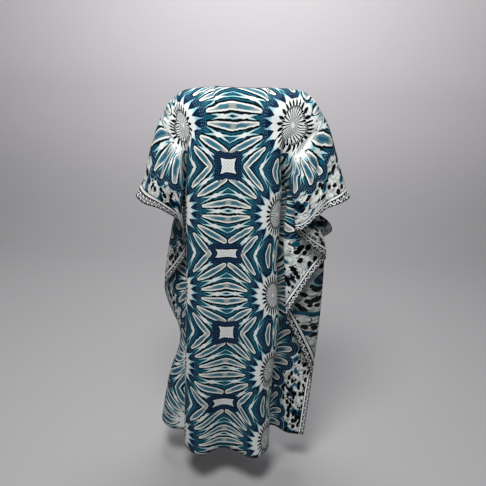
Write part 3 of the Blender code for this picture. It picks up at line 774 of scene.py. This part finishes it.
def add_sleeve(wing, grid, folded_count):
    """Fill the sleeve's columns, from the hang line out to the tip of the arm line."""
    corner = wing.corner_row * ROW_SPLIT
    hang = grid[:corner + 1, folded_count - 1]
    down = (hang[0, 2] - hang[:, 2]) / (hang[0, 2] - hang[-1, 2])
    straight = mix(hang[0, 0], hang[-1, 0], down)
    tip_out = ridge_point(wing.side, CLOTH_HALF_WIDTH)[0]
    for step in range(1, SLEEVE_STEPS + 1):
        share = step / SLEEVE_STEPS
        on_cloth = mix(FOLDS_END_ON_RIDGE, CLOTH_HALF_WIDTH, share)
        top_out, top_height, rounding = ridge_point(wing.side, on_cloth)
        depth = mix(-top_height, read_table(wing.cuff, 1, share), down)
        bow = (hang[:, 0] - straight) * (1.0 - share) ** 2
        x = mix(top_out, mix(hang[-1, 0], tip_out, share), down) + bow
        swelled = read_table(wing.hang, 2, depth) * read_table(wing.swell, 1, share)
        y = mix(SEAM_GAP / 2, swelled, quarter_round((depth + top_height) / rounding))
        grid[:corner + 1, folded_count + step - 1] = np.column_stack([x, y, -depth])


def body_flat(grid, cut_away):
    """Place of each body point on the flat cloth, from the cloth cut away above each column."""
    depth = -grid[:, :, 2]
    share = np.broadcast_to(np.linspace(1.0, -1.0, grid.shape[1]), depth.shape)
    tuck_end = 1.0 - ease((depth - TUCK_ENDS[0]) / (TUCK_ENDS[1] - TUCK_ENDS[0]))
    tucked = LEFT_TUCK * ease((share - TUCK_FROM) / (1.0 - TUCK_FROM)) * tuck_end
    drawn_in = read_table(DRAWN_IN, 1, depth) * np.sin(np.pi * np.clip(-share, 0.0, 1.0))
    s = (share - drawn_in) * read_table(SEAM_PLACES, 1, depth) + tucked
    below = ease((depth - depth[:1]) / WRAP_DEPTH)
    uncut = np.flatnonzero(cut_away == 0.0)
    ridge = np.interp(np.arange(len(cut_away)), uncut, -depth[0, uncut])
    turned = np.maximum.accumulate(np.abs(grid[:, :, 1]), axis=0) / TURNED_OVER
    t = (depth + SHOULDER_WRAP * np.minimum(turned, 1.0) + ridge * (1.0 - below)
         - SHOULDER_DROP * share**2 * below)
    return np.stack([s, t], axis=2)


def hang_places(path):
    """Flat place of the inner fold line under the arm: how far beyond the stitch line it lies, and its t."""
    return np.column_stack([read_table(HANG_PLACES, column, -path[:, 2]) for column in (1, 2)])


def folded_places(path, seam, share, end):
    """Flat places of a folded column: under the arm, then along the layers to its end at the corner row."""
    upper = seam + (hang_places(path) - (0.0, 1.0) * seam) * share
    fold_row = np.searchsorted(-path[:, 2], FOLDS_START)
    below = np.zeros(len(path))
    below[fold_row:] = walked(path[fold_row:])
    return mix(upper[np.minimum(np.arange(len(path)), fold_row)], np.array(end), below[:, None])


def wing_flat(wing, grid, seam):
    """Place of each wing point on the flat cloth, from the stitch line to the sleeve tip."""
    corner = wing.corner_row * ROW_SPLIT
    ends = fold_ends(wing.border[0], wing.border)
    last = len(ends) - 1
    flat = np.full((*grid.shape[:2], 2), np.nan)
    edges = np.full(last + 1, CLOTH_HALF_WIDTH)
    edges[:FALL_STEPS + 1] = mix(seam[corner, 0], CLOTH_HALF_WIDTH, walked(grid[corner, :FALL_STEPS + 1]))
    for column, end in enumerate(zip(edges, ends)):
        path = grid[:corner + 1, column]
        flat[:corner + 1, column] = folded_places(path, seam[:corner + 1], column / last, end)
        if column <= FALL_STEPS:
            hanging = walked(grid[corner:, column])
            flat[corner:, column, 0] = end[0]
            flat[corner:, column, 1] = mix(end[1], HEM_ON_CLOTH, hanging)
            share = column / FALL_STEPS
            shares = np.array([min(S_HURRY * share, 1.0), ease(share)])
            flat[:, column] = mix(seam, flat[:, column], shares)
    add_sleeve_places(grid[:corner + 1, last:], flat[:corner + 1, last:], ends[-1])
    return flat


def add_sleeve_places(grid, flat, cuff_end):
    """Fill in the sleeve's flat places, from the hang line, its first column, to the tip of the arm line."""
    bow = flat[:, 0] - mix(flat[0, 0], flat[-1, 0], walked(grid[:, 0])[:, None])
    for step in range(1, SLEEVE_STEPS + 1):
        share = step / SLEEVE_STEPS
        down = walked(grid[:, step])[:, None]
        top = np.array([mix(flat[0, 0, 0], CLOTH_HALF_WIDTH, share), 0.0])
        end = np.array([CLOTH_HALF_WIDTH, cuff_end * (1.0 - share)])
        flat[:, step] = mix(top, end, down) + bow * (1.0 - share) ** 2


def panel_grid(face, wings):
    """The whole panel as one grid with its flat places, and how many columns each wing has."""
    body, body_places = body_grid(face)
    grids = {}
    places = {}
    for side, seam_column in (("left", 0), ("right", -1)):
        grids[side] = wing_grid(wings[side])
        seam = np.abs(body_places[:, seam_column])
        places[side] = wing_flat(wings[side], grids[side], seam)
    right = grids["right"] * (-1.0, 1.0, 1.0)
    right_places = places["right"] * (-1.0, 1.0)
    grid = np.concatenate([grids["left"][:, :0:-1], body, right[:, 1:]], axis=1)
    flat = np.concatenate([places["left"][:, :0:-1], body_places, right_places[:, 1:]], axis=1)
    grid[:, :, 1] *= SIGN[face]
    return grid, flat, grids["left"].shape[1], right.shape[1]


def unit(vectors):
    lengths = np.linalg.norm(vectors, axis=-1, keepdims=True)
    return vectors / np.maximum(lengths, 1e-12)


def cloth_normals(grid, face):
    """Unit normals of the cloth at its points, level at the shoulder line."""
    across = np.cross(grid[1:, 1:] - grid[:-1, :-1], grid[1:, :-1] - grid[:-1, 1:])
    cells = unit(np.nan_to_num(-SIGN[face] * across))
    normals = np.zeros_like(grid)
    for rows in (slice(None, -1), slice(1, None)):
        for columns in (slice(None, -1), slice(1, None)):
            normals[rows, columns] += cells
    for tip in (0, -1):
        normals[:, tip] = cells[:, tip].sum(axis=0)
    on_shoulder = np.abs(grid[0, :, 1]) < SEAM_GAP
    normals[0, on_shoulder, 1] = 0.0
    return unit(normals)


def crease_height(flat, creases):
    """How far each point is pushed out of the cloth by the creases."""
    pushed = np.zeros(flat.shape[:2])
    for points, height, half_width in creases:
        path, _ = smooth_path(points, CREASE_SAMPLES)
        nearest = np.full(flat.shape[:2], np.inf)
        share = np.zeros(flat.shape[:2])
        for place, at in zip(path, np.linspace(0.0, 1.0, len(path))):
            away = np.hypot(flat[:, :, 0] - place[0], flat[:, :, 1] - place[1])
            share = np.where(away < nearest, at, share)
            nearest = np.fmin(nearest, away)
        fade = ease(CREASE_FADE * share) * ease(CREASE_FADE * (1.0 - share))
        pushed += height * np.exp(-(nearest / half_width) ** 2) * fade
    return pushed


def shell_faces(used, face):
    """Quads of a thin shell over the used points: its face, its wrong side and the walls between them."""
    number = np.where(used, np.cumsum(used).reshape(used.shape) - 1, -1)
    count = int(used.sum())
    corners = np.stack([number[:-1, :-1], number[:-1, 1:], number[1:, 1:], number[1:, :-1]], axis=2)
    cells = corners[(corners >= 0).all(axis=2)]
    if face == "back":
        cells = cells[:, ::-1]
    edges = np.concatenate([cells[:, [k, (k + 1) % 4]] for k in range(4)]).tolist()
    keys = {tuple(edge) for edge in edges}
    walls = [(stop, start, start + count, stop + count) for start, stop in edges if (stop, start) not in keys]
    return cells.tolist(), (cells[:, ::-1] + count).tolist(), walls


def build_cloth(face, grid, flat, materials):
    """Closed thin shell of cloth with its flat places as a UV map."""
    used = ~np.isnan(grid[:, :, 0])
    offset = cloth_normals(grid, face)[used] * CLOTH_THICKNESS / 2
    sides = shell_faces(used, face)
    mesh = bpy.data.meshes.new(f"{face}_cloth")
    mesh.from_pydata(np.vstack([grid[used] + offset, grid[used] - offset]), [], sum(sides, []))
    slots = np.repeat(np.arange(3, dtype=np.int32), [len(side) for side in sides])
    mesh.polygons.foreach_set("material_index", slots)
    corner_points = np.empty(len(mesh.loops), np.int32)
    mesh.loops.foreach_get("vertex_index", corner_points)
    places = np.vstack([flat[used], flat[used]])[corner_points]
    mesh.uv_layers.new(name=FLAT_MAP).data.foreach_set("uv", places.ravel())
    work = bmesh.new()
    work.from_mesh(mesh)
    bmesh.ops.remove_doubles(work, verts=work.verts, dist=MERGE_DISTANCE)
    work.to_mesh(mesh)
    work.free()
    mesh.shade_smooth()
    for material in materials:
        mesh.materials.append(material)
    return link_object(mesh.name, mesh)


def math_operator(operation):
    """Method that adds one Math node."""
    def method(number, *others):
        return number.math(operation, *others)
    return method


class Number:
    """A number worked out in a node tree; arithmetic on it adds Math nodes."""

    def __init__(self, tree, socket):
        self.tree = tree
        self.socket = socket

    def math(self, operation, *others):
        node = self.tree.nodes.new("ShaderNodeMath")
        node.operation = operation
        for slot, value in zip(node.inputs, (self, *others)):
            if isinstance(value, Number):
                self.tree.links.new(value.socket, slot)
            else:
                slot.default_value = value
        return Number(self.tree, node.outputs[0])

    __add__ = __radd__ = math_operator("ADD")
    __mul__ = __rmul__ = math_operator("MULTIPLY")
    __sub__ = math_operator("SUBTRACT")
    __truediv__ = math_operator("DIVIDE")
    __pow__ = math_operator("POWER")
    __abs__ = math_operator("ABSOLUTE")
    __lt__ = math_operator("LESS_THAN")
    __gt__ = math_operator("GREATER_THAN")

    def __rsub__(self, other):
        return (self * -1.0) + other

    def wave(self, count):
        """Triangle wave of this number: 0 at the middle of each of its waves and 1 between them."""
        return abs((self * count).math("FRACT") - 0.5) * 2.0


def highest(a, b):
    return a.math("MAXIMUM", b)


def either(*masks):
    """Mask that holds where any of the masks holds."""
    return functools.reduce(highest, masks)


def length_of(a, b):
    return (a * a + b * b).math("SQRT")


def blend(start, stop, share):
    return share * (stop - start) + start


def add_node(tree, kind, vector=None, **values):
    """New shader node with fixed input values, fed by a vector."""
    node = tree.nodes.new(f"ShaderNode{kind}")
    for name, value in values.items():
        node.inputs[name].default_value = value
    if vector is not None:
        tree.links.new(vector, node.inputs["Vector"])
    return node


def clamped(value):
    node = value.tree.nodes.new("ShaderNodeClamp")
    value.tree.links.new(value.socket, node.inputs["Value"])
    return Number(value.tree, node.outputs[0])


def soft_step(value, start, stop):
    """Smooth step of a number from 0 at start to 1 at stop."""
    node = add_node(value.tree, "MapRange", **{"From Min": start, "From Max": stop})
    node.interpolation_type = "SMOOTHSTEP"
    value.tree.links.new(value.socket, node.inputs["Value"])
    return Number(value.tree, node.outputs["Result"])


def ramp(position, stops, interpolation="LINEAR"):
    """Colour along a number from 0 to 1; stops are (position, colour)."""
    node = position.tree.nodes.new("ShaderNodeValToRGB")
    node.color_ramp.interpolation = interpolation
    elements = node.color_ramp.elements
    while len(elements) < len(stops):
        elements.new(1.0)
    for element, (place, colour) in zip(elements, stops):
        element.position = place
        element.color = (*colour, 1.0)
    position.tree.links.new(position.socket, node.inputs["Fac"])
    return node.outputs["Color"]


def parts_of(tree, kind, slot, value):
    """The three numbers of a colour or a vector."""
    node = tree.nodes.new(f"ShaderNodeSeparate{kind}")
    tree.links.new(value, node.inputs[slot])
    return [Number(tree, output) for output in node.outputs[:3]]


def chart(position, rows):
    """Three numbers looked up in rows of (start, first, second, third), each held until the next start."""
    colour = ramp(position, [(row[0], row[1:]) for row in rows], "CONSTANT")
    return parts_of(position.tree, "Color", "Color", colour)


def paint(under, *layers):
    """Colours laid on one another in turn: each layer is a colour and its mask."""
    for colour, mask in layers:
        tree = mask.tree
        node = tree.nodes.new("ShaderNodeMix")
        node.data_type = "RGBA"
        tree.links.new(mask.socket, node.inputs[MIX_SHARE])
        for slot, value in ((MIX_UNDER, under), (MIX_OVER, colour)):
            if isinstance(value, tuple):
                node.inputs[slot].default_value = (*value, 1.0)
            else:
                tree.links.new(value, node.inputs[slot])
        under = node.outputs[MIX_RESULT]
    return under


def noise(tree, place, scale, detail):
    node = add_node(tree, "TexNoise", place, Scale=scale, Detail=detail)
    return Number(tree, node.outputs["Fac"])


def flat_place(tree):
    """Vector socket with the place on the flat cloth, and its s and t as numbers."""
    place = tree.nodes.new("ShaderNodeUVMap")
    place.uv_map = FLAT_MAP
    s, t, _ = parts_of(tree, "XYZ", "Vector", place.outputs["UV"])
    return place.outputs["UV"], s, t


def spokes(reach, angle, outward, inner, outer):
    """Place along and beside the nearest spoke of a sunburst, from the charts of its two sides.

    Each chart gives the spoke's angle, the middle of its mark along it, and the mark's half length.
    """
    outer_side = outward > 0.0
    found = [blend(a, b, outer_side) for a, b in zip(chart(angle, inner), chart(angle, outer))]
    turned = (angle - found[0]) * RIGHT_ANGLE
    along = reach * turned.math("COSINE") - found[1]
    beside = abs(reach * turned.math("SINE"))
    return along, beside, found[2]


def fine_dots(a, b):
    """Mask of small dots on a grid."""
    return length_of(a.wave(DOTS_PER_METRE), b.wave(DOTS_PER_METRE)) < DOT_SIZE


def petals(across, reach, angle, outward, shade):
    """Colours of the long petals that leave each sunburst, and the distance out of their outlines."""
    along, beside, half = spokes(reach, angle, outward, INNER_PETALS, OUTER_PETALS)
    share = abs(along) / half
    straight = highest(abs(along) - (half - PETAL_TIP), 0.0)
    taper = blend(NEAR_TAPER, FAR_TAPER, along > 0.0)
    half_width = blend(PETAL_HALF_WIDTH, OUTER_HALF_WIDTH, outward > 0.0)
    edge = length_of(beside, straight) - (1.0 - share * share * taper) * half_width
    place = (edge + shade * PETAL_WAVER - RINGS_FROM) / (RINGS_TO - RINGS_FROM)
    rings = ramp(place, [((at - RINGS_FROM) / (RINGS_TO - RINGS_FROM), colour) for at, colour in PETAL_RINGS])
    dotted = fine_dots(along, beside) * (edge > DOTS_FROM) * (edge < DOTS_TO)
    inside = edge < -PETAL_OUTLINE
    bridge = 1.0 - soft_step(across, *PETAL_BRIDGE)
    return paint(rings,
                 (MIST_BLUE, dotted * DOT_STRENGTH),
                 (BEIGE, soft_step(share, *PALE_END) * inside * PALE_END_STRENGTH),
                 (BEIGE, inside * bridge * BRIDGE_STRENGTH)), edge


def stars(under, petal_edge, reach, angle, outward):
    """Pale crosses drawn out long between neighbouring petals, on a lighter ground."""
    along, beside, half = spokes(reach, angle, outward, INNER_STARS, OUTER_STARS)
    share = abs(along) / half
    clear = petal_edge > STAR_CLEARANCE
    glow = clamped(GLOW_START - share * GLOW_FALL) * clamped(GLOW_CORE - beside / GLOW_WIDTH)
    arms = abs(beside - abs(along) * STAR_SPREAD)
    thin = clamped(1.0 - share * share)
    dark = (arms < thin * STAR_DARK_WIDTH) * clear
    core = length_of(beside, along * STAR_LENGTHENING) < STAR_CORE
    pale = either(arms < thin * STAR_LINE_WIDTH, core) * clear
    return paint(under,
                 (DEEP_CYAN, glow * (petal_edge > GLOW_CLEARANCE) * GLOW_STRENGTH),
                 (BLACK, dark * STAR_DARKNESS),
                 (ramp(share, STAR_TINT), pale))


def sunburst(under, outward, down, reach, angle, shade):
    """Pale sunburst: a lined centre, a ring of dark dashes and a pointed halo."""
    wide = outward / SUNBURST_HALF_WIDTH
    tall = down / SUNBURST_HALF_HEIGHT
    rho = length_of(wide, tall)
    turn = tall.math("ARCTAN2", wide) / (2.0 * np.pi)
    _, beside, _ = spokes(reach, angle, outward, INNER_STARS, OUTER_STARS)
    narrowing = clamped(1.0 - (reach - SPIKE_BASE) / SPIKE_LENGTH) ** SPIKE_SHARPNESS
    dash_room = (rho - DASH_MIDDLE) / DASH_HALF_LENGTH
    ring = turn.wave(SUNBURST_DASHES)
    return paint(under,
                 (ramp(reach * TINTS_PER_METRE, SPIKE_TINT), beside < narrowing * SPIKE_HALF_WIDTH),
                 (OFF_WHITE, rho + shade * HALO_WAVER < HALO_EDGE),
                 (BLACK, ring < clamped(1.0 - dash_room * dash_room) * DASH_FILL),
                 (BLACK, (ring > LINE_FILL) * (rho < LINES_TO) * (rho > LINES_FROM)))


def motif_side(along, across, half_size):
    """Distance out of one pair of a lattice panel's sides, which bow in at their middle."""
    flare = (across * across).math("MINIMUM", MOTIF_FLARE_LIMIT) * MOTIF_FLARE
    return (along - MOTIF_WAIST - flare) * half_size


def axis_motif(under, across, up, row, shade):
    """Pale lattice panel on the mirror axis between two rows of sunbursts, in a dotted navy band."""
    flat_one = (row * 0.5).math("FLOOR") * -2.0 + row.math("FLOOR")
    half_width = blend(SQUARE_MOTIF[0], FLAT_MOTIF[0], flat_one)
    half_height = blend(SQUARE_MOTIF[1], FLAT_MOTIF[1], flat_one)
    wide = across / ACROSS_SCALE + (shade - 0.5) * WOBBLE
    x = wide / half_width
    y = up / half_height
    sides = motif_side(x, y, half_width)
    ends = motif_side(y, x, half_height)
    edge = highest(sides, ends)
    out = length_of(highest(sides, 0.0), highest(ends, 0.0)) + (shade - 0.5) * MOTIF_WAVER
    band = out < MOTIF_BAND
    lattice = either(*((way.wave(LATTICE_PER_METRE) < LATTICE_LINE) for way in (wide + up, wide - up)))
    return paint(under,
                 (NAVY, band),
                 (MIST_BLUE, fine_dots(across, up) * band * (out > MOTIF_DOTS_FROM) * MOTIF_DOT_STRENGTH),
                 (BLACK, (out < MOTIF_OUTLINE) * (edge > 0.0)),
                 (OFF_WHITE, edge < 0.0),
                 (WARM_GREY, lattice * (edge < LATTICE_INSET) * LATTICE_STRENGTH))


def blotched_ground(place, outward, t, shade):
    """Pale ground of the cloth's sides, with grey, blue and black blotches and thin twigs."""
    tree = shade.tree
    stretched = tree.nodes.new("ShaderNodeCombineXYZ")
    tree.links.new((outward * BLOTCH_SQUEEZE).socket, stretched.inputs["X"])
    tree.links.new(t.socket, stretched.inputs["Y"])
    cells = add_node(tree, "TexVoronoi", stretched.outputs["Vector"], Scale=BLOTCHES_PER_METRE)
    spot = Number(tree, cells.outputs["Distance"]) + (shade - 0.5) * BLOTCH_WAVER < BLOTCH_SIZE
    chance = parts_of(tree, "Color", "Color", cells.outputs["Color"])[0]
    patch = noise(tree, place, *PATCH_NOISE)
    return paint(OFF_WHITE,
                 (WARM_GREY, soft_step(shade, *GREY_PATCH) * GREY_STRENGTH),
                 (TEAL, soft_step(patch, *TEAL_PATCH)),
                 (NAVY, soft_step(patch, *NAVY_PATCH)),
                 (CHARCOAL, abs(noise(tree, place, *TWIG_NOISE) - 0.5) < TWIG_WIDTH),
                 (BLACK, spot * (chance > BARE_SHARE)))


def side_ground(under, place, petal_edge, reach, angle, outward, t, shade):
    """Blotched ground beyond the scalloped dark edge of the petals."""
    _, beside, _ = spokes(reach, angle, outward, OUTER_PETALS, OUTER_PETALS)
    bump = clamped(1.0 - (beside / SCALLOP_HALF_WIDTH) ** 2.0).math("SQRT")
    edge = reach - SCALLOP_REACH - bump * SCALLOP_DEPTH
    beyond = (edge > 0.0) * (outward > 0.0)
    band = (edge > -SCALLOP_BAND) * (outward > 0.0)
    cleared = clamped((petal_edge - BAND_CLEARANCE[0]) / (BAND_CLEARANCE[1] - BAND_CLEARANCE[0]))
    rim = fine_dots(outward / ACROSS_SCALE, t) * band * (edge < RIM_INSET)
    return paint(under,
                 (NAVY, band * (edge < 0.0) * cleared),
                 (MIST_BLUE, rim * (petal_edge > RIM_CLEARANCE) * RIM_STRENGTH),
                 (PALE_CYAN, beyond),
                 (blotched_ground(place, outward, t, shade), beyond * soft_step(edge, 0.0, FRINGE)))


def side_border(under, edge, t):
    """Border along the cloth's side edges: a pale scroll on black beside a plain line."""
    phase = t / SCROLL_PITCH
    x = (edge - SCROLL_MIDDLE) / SCROLL_HALF_WIDTH
    swing = (phase * (2.0 * np.pi)).math("SINE")
    runner = abs(x - swing * SCROLL_SWING) < SCROLL_LINE
    half_turn = (phase * 2.0).math("FLOOR")
    side = 1.0 - (half_turn - (half_turn * 0.5).math("FLOOR") * 2.0) * 2.0
    along = ((phase * 2.0).math("FRACT") - 0.5) * CURL_LENGTH
    curl = length_of(x + side * CURL_OUT, along) < CURL_SIZE
    return paint(under,
                 (BLACK, edge < BORDER_WIDTH),
                 (BORDER_WHITE, either(runner, curl) * (abs(x) < 1.0)),
                 (BORDER_WHITE, abs(edge - BORDER_LINE) < BORDER_LINE_WIDTH / 2))


def stitch_line(away, along):
    """Mask of a dashed line of stitches, from the distance away from it and the distance along it."""
    return (abs(away) < STITCH_WIDTH / 2) * ((along / STITCH_PITCH).math("FRACT") < STITCH_SHARE)


def print_colour(place, s, t, shade):
    """Colour of the print at each place of the flat cloth."""
    tree = shade.tree
    bleed = (noise(tree, place, *BLEED_NOISE) - 0.5) * INK_BLEED
    wobble = (noise(tree, place, *WOBBLE_NOISE) - 0.5) * WOBBLE
    across = abs(s - PRINT_AXIS + wobble)
    row = (t - FIRST_ROW - wobble) / ROW_PITCH
    down = abs(row - row.math("ROUND")) * ROW_PITCH
    outward = across - SUNBURST_OUT + bleed
    reach = length_of(outward, down)
    angle = down.math("ARCTAN2", abs(outward)) / RIGHT_ANGLE
    colour, edge = petals(across, reach, angle, outward, shade)
    colour = stars(colour, edge, reach, angle, outward)
    colour = side_ground(colour, place, edge, reach, angle, outward, t, shade)
    colour = sunburst(colour, outward, down, reach, angle, shade)
    return axis_motif(colour, across, ROW_PITCH / 2 - down, row, shade)


def print_group():
    """Node group with the colour of the cloth, the height of its weave and stitching, and the ink's shade."""
    tree = bpy.data.node_groups.new("robe_print", "ShaderNodeTree")
    for name, kind in (("Colour", "Color"), ("Height", "Float"), ("Shade", "Float")):
        tree.interface.new_socket(name, in_out="OUTPUT", socket_type=f"NodeSocket{kind}")
    place, s, t = flat_place(tree)
    shade = noise(tree, place, *SHADE_NOISE)
    side_edge = CLOTH_HALF_WIDTH - abs(s)
    hem_edge = HEM_ON_CLOTH - t
    from_seam = abs(s) - SEAM_ON_CLOTH
    sewn = either(stitch_line(side_edge - STITCH_INSET, t), stitch_line(hem_edge - STITCH_INSET, s),
                  stitch_line(from_seam, t) * (t > SEAM_TOP))
    colour = side_border(print_colour(place, s, t, shade), side_edge, t)
    colour = paint(colour,
                   (BLACK, hem_edge < HEM_DARK),
                   (WARM_GREY, soft_step(noise(tree, place, *FADING_NOISE), *FADED_PATCH) * FADING),
                   (THREAD_COLOUR, sewn))
    weave = (s * THREADS).math("SINE") * (t * THREADS).math("SINE")
    dip = clamped(1.0 - abs(from_seam) / SEAM_DIP_WIDTH) * (t > SEAM_TOP)
    height = weave * WEAVE_HEIGHT + sewn * STITCH_HEIGHT - dip * SEAM_DIP
    ends = tree.nodes.new("NodeGroupOutput")
    for slot, socket in zip(ends.inputs, (colour, height.socket, shade.socket)):
        tree.links.new(socket, slot)
    return tree


def new_material(name):
    """New material, its node tree and its shader."""
    material = bpy.data.materials.new(name)
    material.use_nodes = True
    return material, material.node_tree, material.node_tree.nodes["Principled BSDF"]


def add_bump(tree, shader, height):
    bump = add_node(tree, "Bump", Distance=1.0, Strength=1.0)
    tree.links.new(height, bump.inputs["Height"])
    tree.links.new(bump.outputs["Normal"], shader.inputs["Normal"])


def printed_cloth(name, print_nodes, dulling, least_roughness):
    """Printed cotton: its face, or its wrong side where the ink shows through dulled."""
    material, tree, shader = new_material(name)
    ink = tree.nodes.new("ShaderNodeGroup")
    ink.node_tree = print_nodes
    shade = Number(tree, ink.outputs["Shade"])
    colour = ink.outputs["Colour"]
    if dulling:
        colour = paint(colour, (REVERSE_GREY, clamped(shade * SHADE_DULLING + dulling)))
    tree.links.new(colour, shader.inputs["Base Color"])
    roughness = shade * SHADE_ROUGHNESS + least_roughness
    tree.links.new(roughness.socket, shader.inputs["Roughness"])
    shader.inputs["Sheen Weight"].default_value = SHEEN
    shader.inputs["Sheen Roughness"].default_value = SHEEN_ROUGHNESS
    shader.inputs["Specular IOR Level"].default_value = SPECULAR
    add_bump(tree, shader, ink.outputs["Height"])
    return material


def rolled_edge_material():
    """Black turned edge with the twist of its overlocked thread."""
    material, tree, shader = new_material("rolled_edge")
    place = tree.nodes.new("ShaderNodeTexCoord").outputs["Object"]
    shade = noise(tree, place, *EDGE_NOISE)
    twist = add_node(tree, "TexWave", place, Scale=TWISTS_PER_METRE, Distortion=TWIST_DISTORTION)
    worn = clamped(shade * EDGE_WEAR[0] + EDGE_WEAR[1])
    tree.links.new(paint(EDGE_BLACK, (EDGE_WORN, worn)), shader.inputs["Base Color"])
    tree.links.new((shade * EDGE_ROUGHNESS[0] + EDGE_ROUGHNESS[1]).socket, shader.inputs["Roughness"])
    shader.inputs["Sheen Weight"].default_value = EDGE_SHEEN
    add_bump(tree, shader, (Number(tree, twist.outputs["Fac"]) * TWIST_HEIGHT).socket)
    return material


def stage_material():
    """Painted studio surface with faint mottling; its colour holds painted shade, darker on the floor than up
    the backdrop.
    """
    material, tree, shader = new_material("pale_stage")
    place = tree.nodes.new("ShaderNodeTexCoord").outputs["Object"]
    height = parts_of(tree, "XYZ", "Vector", place)[2]
    # Painted shade: the darker floor colour gives way to the backdrop colour up the sweep
    up = soft_step(height, FLOOR_HEIGHT, FLOOR_HEIGHT + SWEEP_TONE * SWEEP_RADIUS)
    mottled = noise(tree, place, *MOTTLE_NOISE) * MOTTLE
    painted = paint(SHADED_FLOOR_COLOUR, (STAGE_COLOUR, up), (MOTTLE_COLOUR, mottled))
    tree.links.new(painted, shader.inputs["Base Color"])
    shader.inputs["Roughness"].default_value = STAGE_ROUGHNESS
    return material


def link_object(name, data):
    item = bpy.data.objects.new(name, data)
    bpy.context.scene.collection.objects.link(item)
    return item


def rolled_edge(name, path, radius, closed, material):
    """Round turned edge along a path."""
    curve = bpy.data.curves.new(name, "CURVE")
    curve.dimensions = "3D"
    curve.bevel_depth = radius
    curve.bevel_resolution = EDGE_ROUNDING
    curve.use_fill_caps = not closed
    spline = curve.splines.new("POLY")
    spline.points.add(len(path) - 1)
    spline.points.foreach_set("co", np.column_stack([path, np.ones(len(path))]).ravel())
    spline.use_cyclic_u = closed
    drawn = bpy.data.objects.new(f"{name}_path", curve)
    edge = link_object(name, bpy.data.meshes.new_from_object(drawn))
    edge.data.shade_smooth()
    edge.data.materials.append(material)
    bpy.data.objects.remove(drawn)
    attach(edge, "root")
    return edge


def side_edge_path(wing, grid):
    """Points of a wing's free edge, from the sleeve tip to the hem; grid runs out from the stitch line."""
    corner = wing.corner_row * ROW_SPLIT
    cuff = grid[corner, FALL_STEPS:][::-1]
    down = grid[corner + 1:, FALL_STEPS]
    return np.vstack([cuff, down])


def build_panel(face, materials):
    """One panel's cloth and its rolled edge; returns the points of its neckline."""
    wings = {wing.side: wing for wing in WINGS if wing.face == face}
    grid, flat, left_count, right_count = panel_grid(face, wings)
    grid = grid + cloth_normals(grid, face) * crease_height(flat, CREASES[face])[:, :, None]
    cloth = build_cloth(face, grid, flat, materials)
    left_edge = side_edge_path(wings["left"], grid[:, left_count - 1::-1])
    right_edge = side_edge_path(wings["right"], grid[:, -right_count:])
    hem = grid[-1, left_count - FALL_STEPS:-right_count + FALL_STEPS]
    path = np.vstack([left_edge, hem, right_edge[::-1]])
    edge = rolled_edge(f"{face}_rolled_edge", path, EDGE_RADIUS, False, materials[2])
    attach(cloth, "root")
    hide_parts(f"{face}_panel", f"{face}_left_wing", f"{face}_right_wing")
    middle = left_count - 1 + BODY_STEPS // 2
    return grid[0, middle - NECK_STEPS:middle + NECK_STEPS + 1]


def build_robe():
    print_nodes = print_group()
    materials = (printed_cloth("printed_cotton", print_nodes, 0.0, FACE_ROUGHNESS),
                 printed_cloth("printed_cotton_reverse", print_nodes, REVERSE_DULLING, REVERSE_ROUGHNESS),
                 rolled_edge_material())
    back_neck = build_panel("back", materials)
    front_neck = build_panel("front", materials)
    loop = np.vstack([back_neck, front_neck[-2:0:-1]])
    rolled_edge("neck_edge", loop, NECK_EDGE_RADIUS, True, materials[2])


def build_stage():
    """Pale floor that curves up into a plain backdrop behind the robe, seen from the back."""
    turn = np.linspace(0.0, RIGHT_ANGLE, SWEEP_STEPS)
    run = [(STAGE_REACH, 0.0)]
    run += [(-BACKDROP_AWAY - SWEEP_RADIUS * np.sin(a), SWEEP_RADIUS * (1.0 - np.cos(a))) for a in turn]
    run.append((-BACKDROP_AWAY - SWEEP_RADIUS, BACKDROP_HEIGHT))
    work = bmesh.new()
    sides = [[work.verts.new((x, y, FLOOR_HEIGHT + z)) for y, z in run] for x in (-STAGE_REACH, STAGE_REACH)]
    for k in range(len(run) - 1):
        work.faces.new((sides[0][k], sides[1][k], sides[1][k + 1], sides[0][k + 1]))
    mesh = bpy.data.meshes.new("stage")
    work.to_mesh(mesh)
    work.free()
    mesh.shade_smooth()
    mesh.materials.append(stage_material())
    link_object("stage", mesh)


def add_light(name, place, aim, size, power, colour):
    light = bpy.data.lights.new(name, "AREA")
    light.shape = "DISK"
    light.size = size
    light.energy = power
    light.color = colour
    item = link_object(name, light)
    away = Vector(place) - Vector(aim)
    item.matrix_world = Matrix.Translation(place) @ away.to_track_quat("Z", "Y").to_matrix().to_4x4()


def light_scene():
    world = bpy.data.worlds.new("studio")
    world.use_nodes = True
    backdrop = world.node_tree.nodes["Background"]
    backdrop.inputs["Color"].default_value = (*WORLD_COLOUR, 1.0)
    backdrop.inputs["Strength"].default_value = WORLD_STRENGTH
    bpy.context.scene.world = world
    bpy.context.scene.view_settings.view_transform = "Standard"
    for light in LIGHTS:
        add_light(*light)


def place_camera():
    camera = bpy.data.cameras.new("camera")
    camera.lens = CAMERA_LENS
    camera.sensor_width = CAMERA_SENSOR
    camera.clip_start = CAMERA_NEAR
    item = link_object("camera", camera)
    item.matrix_world = (Matrix.Translation(CAMERA_PLACE) @ Matrix.Rotation(np.pi, 4, "Z")
                         @ Matrix.Rotation(RIGHT_ANGLE - np.radians(CAMERA_DOWN), 4, "X")
                         @ Matrix.Rotation(np.radians(CAMERA_ROLL), 4, "Z"))
    bpy.context.scene.camera = item


build_robe()
build_stage()
light_scene()
place_camera()
